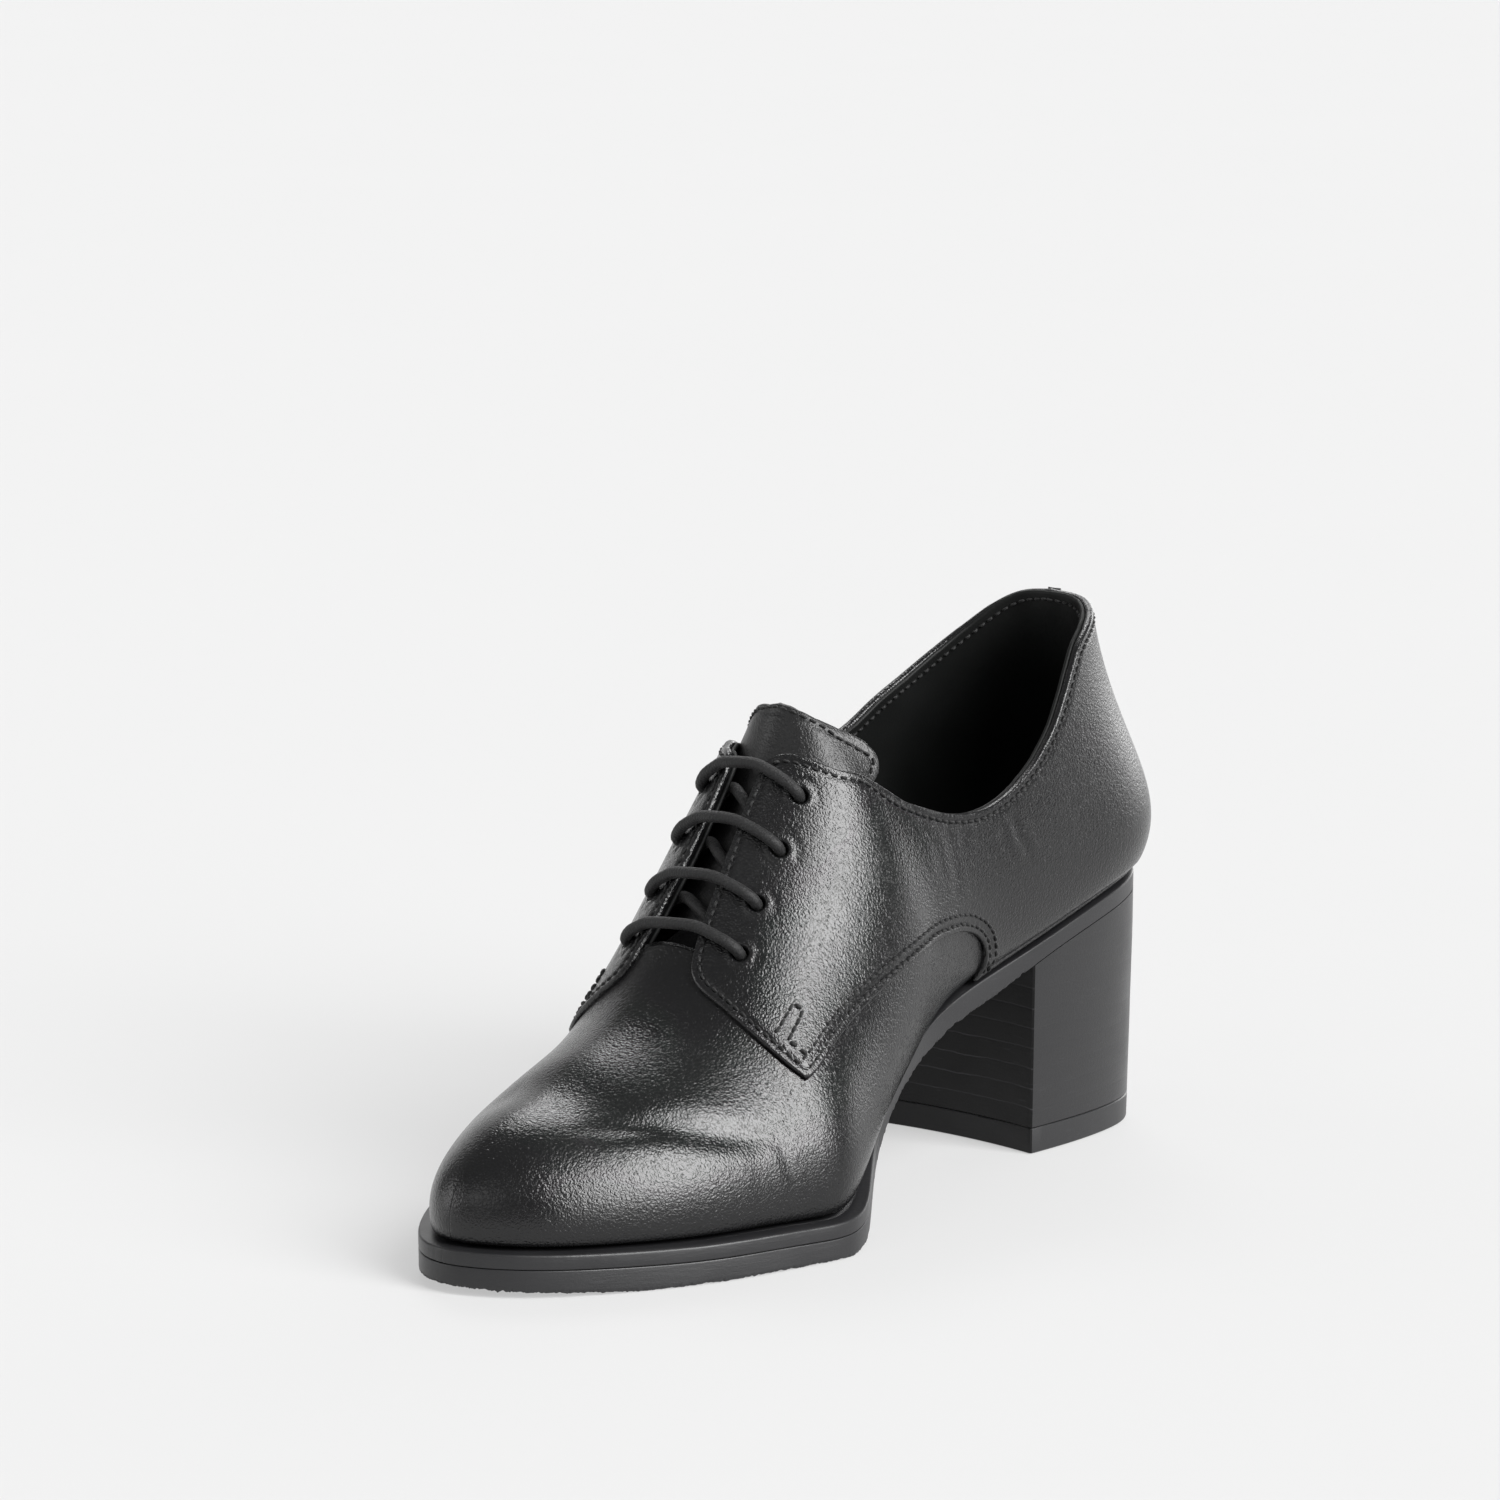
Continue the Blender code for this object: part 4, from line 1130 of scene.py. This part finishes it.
facing_share = {s: Spline(sorted([(r[0], r[1]) for r in FACING_AND_COLLAR[s] if 122 < r[0] < 158])) for s in (1, -1)}
REST = QUARTER_PROUD + LACE_R - .12
route = []
for k, (u, inner, outer) in enumerate(EYELETS):
    fi, fo = float(facing_share[1](u)), float(facing_share[-1](u))
    a, b = on_last(1, u, fi + .004, REST), on_last(-1, u, fo + .004, REST)
    mid = (a + b) / 2
    _, up = surface(1.0, float(turn(u)), 1.0)
    bar = [on_last(-1, u, outer, -3.3), on_last(-1, u, outer, -.6), on_last(-1, u, outer + .004, 1.7),
           on_last(-1, u, outer + (fo - outer) * .35, REST + .25), on_last(-1, u, outer + (fo - outer) * .75, REST + .1),
           b, mid + up * .75, a,
           on_last(1, u, fi + (inner - fi) * .35, REST + .05), on_last(1, u, fi + (inner - fi) * .72, REST + .1),
           on_last(1, u, inner + .012, 1.9), on_last(1, u, inner, -.6), on_last(1, u, inner, -3.0)]
    route += bar
    if k + 1 < len(EYELETS):
        u2, _, outer2 = EYELETS[k + 1]
        f2 = float(facing_share[-1](u2))
        route += [on_last(1, u + (u2 - u) * .12, inner + .05, -3.3), on_last(1, u + (u2 - u) * .3, fi, -3.2),
                  (on_last(1, u + (u2 - u) * .42, .985, -3.0) + on_last(-1, u + (u2 - u) * .6, .985, -3.0)) / 2,
                  on_last(-1, u + (u2 - u) * .75, f2, -3.2), on_last(-1, u + (u2 - u) * .92, outer2 + .05, -3.3)]


def tube(name, points, radius, mat, step=.22, sides=22):
    """Woven round cord along a route."""
    path = smooth_path(np.array(points), step)
    for _ in range(4):
        path[1:-1] = (path[:-2] + 2 * path[1:-1] + path[2:]) / 4
    t = unit(np.gradient(path, axis=0))
    n = np.zeros_like(path)
    n[0] = unit(np.cross(t[0], [0.0, 0.3, 1.0]))
    for k in range(1, len(path)):
        v = n[k - 1] - (n[k - 1] @ t[k]) * t[k]
        n[k] = v / np.linalg.norm(v)
    b = np.cross(t, n)
    s = np.arange(len(path))[:, None] * step
    ang = np.linspace(0, 2 * math.pi, sides, endpoint=False)[None, :]
    one = np.abs(np.sin(4 * ang + s * math.pi / 1.7))
    two = np.abs(np.sin(4 * ang - s * math.pi / 1.7))
    r = radius * (.84 + .17 * np.maximum(one, two))
    verts = path[:, None, :] + r[..., None] * (np.cos(ang)[..., None] * n[:, None, :] + np.sin(ang)[..., None] * b[:, None, :])
    count = len(path)
    faces = []
    for k in range(count - 1):
        for j in range(sides):
            a, c = k * sides + j, k * sides + (j + 1) % sides
            faces.append((a, c, c + sides, a + sides))
    faces.append(tuple(range(sides))[::-1])
    faces.append(tuple((count - 1) * sides + j for j in range(sides)))
    ob = mesh_object(name, verts.reshape(-1, 3), faces, mat)
    return face_out(ob)


lace = tube("lace_cord", route, LACE_R, cord_black)
ride(lace, "lace", "lace_bar_1", "lace_bar_2", "lace_bar_3", "lace_bar_4")


# ------------------------------------------------------------------ back tab
def tab_to_last(pts):
    return quarter_to_last(pts)


tab_w = 5.0
tab_line = smooth_path(np.array([(-tab_w, .942 * HIGH), (-tab_w, .915 * HIGH), (-tab_w + .8, .907 * HIGH), (0, .905 * HIGH),
                                 (tab_w - .8, .907 * HIGH), (tab_w, .915 * HIGH), (tab_w, .942 * HIGH)]), .5)
tab_outline = np.concatenate([tab_line, even(np.array([tab_line[-1], tab_line[0]]), .6)[1:-1]])
tab_flat = triangulated(tab_outline, [], [.12, .3, .55], .8)
tab = Panel("back_tab", tab_flat, tab_to_last,
            lambda d, side, phi, share: 1.5 + .55 * rounded(d, .5),
            lambda d, side, phi, share: 1.5 - .35 * rounded(d, .5), calf_black)
ride(tab.object, "upper")

# ------------------------------------------------------------------ camera, floor and light
cam_data = bpy.data.cameras.new("camera")
cam_data.sensor_width = 36.0
cam_data.lens = 132.0
cam_data.clip_end = 60.0
camera = bpy.data.objects.new("camera", cam_data)
right, up_dir, forward = (0.76542, 0.64353, 0.0), (-0.11516, 0.13697, 0.98386), (-0.63315, 0.75306, -0.17895)
turned = Matrix((right, up_dir, tuple(-f for f in forward))).transposed().to_4x4()
turned.translation = (0.80863, -0.98472, 0.33752)
camera.matrix_world = turned
bpy.context.scene.collection.objects.link(camera)
bpy.context.scene.camera = camera
bpy.context.scene.view_settings.view_transform = "Standard"

# The studio as the shoe sees it: soft boxes and the bright sweep behind, by azimuth from +X towards +Y and elevation
STUDIO = [
    # azimuth from, to, elevation from, to, softness of the edge in degrees, strength
    (-16, 21, 15, 64, 5, 14.5),
    (-21, 19, -10, 14, 5, 3.6),
    (62, 84, -8, 14, 5, 3.0),
    (84, 118, -8, 26, 6, 4.0),
    (118, 158, -4, 34, 7, .6),
    (118, 147, 40, 55, 4, 8.5),
    (-108, -76, 18, 46, 8, 1.0),
    (-162, -122, 2, 26, 7, 2.0),
]
ROOM = .25
BACKDROP = .896
FLOOR_ALBEDO = .24


def studio_at(az, el):
    """Strength of the studio in a direction, as the world's nodes give it."""
    total = ROOM
    for az0, az1, el0, el1, soft, strength in STUDIO:
        wide = smooth((az - az0 + soft) / (2 * soft)) - smooth((az - az1 + soft) / (2 * soft))
        high = smooth((el - el0 + soft) / (2 * soft)) - smooth((el - el1 + soft) / (2 * soft))
        total = total + wide * high * strength
    return total


_az, _el = np.meshgrid(np.arange(-179.5, 180, 1.0), np.arange(.5, 90, 1.0))
_e = np.radians(_el)
on_floor = float((studio_at(_az, _el) * np.sin(_e) * np.cos(_e)).sum() * math.radians(1) ** 2 / math.pi)

floor_material, nodes, links, shader = new_material("pale_floor")
at = object_coords(nodes, links)
mottle = node(nodes, "ShaderNodeTexNoise", Scale=3.0, Detail=2.0)
links.new(at, mottle.inputs["Vector"])
links.new(mix_colour(nodes, links, mottle.outputs["Fac"], (FLOOR_ALBEDO * .99,) * 3, (FLOOR_ALBEDO * 1.01,) * 3), shader.inputs["Base Color"])
shader.inputs["Roughness"].default_value = .9
shader.inputs["Specular IOR Level"].default_value = 0.0
shader.inputs["Emission Color"].default_value = (1, 1, 1, 1)
shader.inputs["Emission Strength"].default_value = BACKDROP - FLOOR_ALBEDO * on_floor
bm = bmesh.new()
bmesh.ops.create_circle(bm, cap_ends=True, segments=64, radius=14.0)
floor_mesh = bpy.data.meshes.new("floor")
bm.to_mesh(floor_mesh)
bm.free()
floor_mesh.materials.append(floor_material)
floor = bpy.data.objects.new("floor", floor_mesh)
floor.location = (0, 0, -0.0002)
bpy.context.scene.collection.objects.link(floor)


world = bpy.data.worlds.new("studio")
bpy.context.scene.world = world
world.use_nodes = True
nodes, links = world.node_tree.nodes, world.node_tree.links
back = nodes["Background"]
coord = nodes.new("ShaderNodeTexCoord")
split = nodes.new("ShaderNodeSeparateXYZ")
links.new(coord.outputs["Generated"], split.inputs["Vector"])
azimuth = math_node(nodes, links, "MULTIPLY", math_node(nodes, links, "ARCTAN2", split.outputs["Y"], split.outputs["X"]),
                    180 / math.pi)
elevation = math_node(nodes, links, "MULTIPLY", math_node(nodes, links, "ARCSINE", split.outputs["Z"], 0.0), 180 / math.pi)


def soft_step(value, at, softness):
    n = nodes.new("ShaderNodeMapRange")
    n.interpolation_type = "SMOOTHSTEP"
    n.inputs["From Min"].default_value = at - softness
    n.inputs["From Max"].default_value = at + softness
    links.new(value, n.inputs["Value"])
    return n.outputs["Result"]


light = None
for az0, az1, el0, el1, softness, strength in STUDIO:
    wide = math_node(nodes, links, "SUBTRACT", soft_step(azimuth, az0, softness), soft_step(azimuth, az1, softness))
    high = math_node(nodes, links, "SUBTRACT", soft_step(elevation, el0, softness), soft_step(elevation, el1, softness))
    box = math_node(nodes, links, "MULTIPLY", math_node(nodes, links, "MULTIPLY", wide, high), strength)
    light = box if light is None else math_node(nodes, links, "ADD", light, box)
light = math_node(nodes, links, "ADD", light, ROOM)
rays = nodes.new("ShaderNodeLightPath")
seen = nodes.new("ShaderNodeMix")
seen.data_type = "FLOAT"
links.new(rays.outputs["Is Camera Ray"], seen.inputs["Factor"])
links.new(light, seen.inputs["A"])
seen.inputs["B"].default_value = BACKDROP
links.new(seen.outputs["Result"], back.inputs["Strength"])
back.inputs["Color"].default_value = (1, 1, 1, 1)
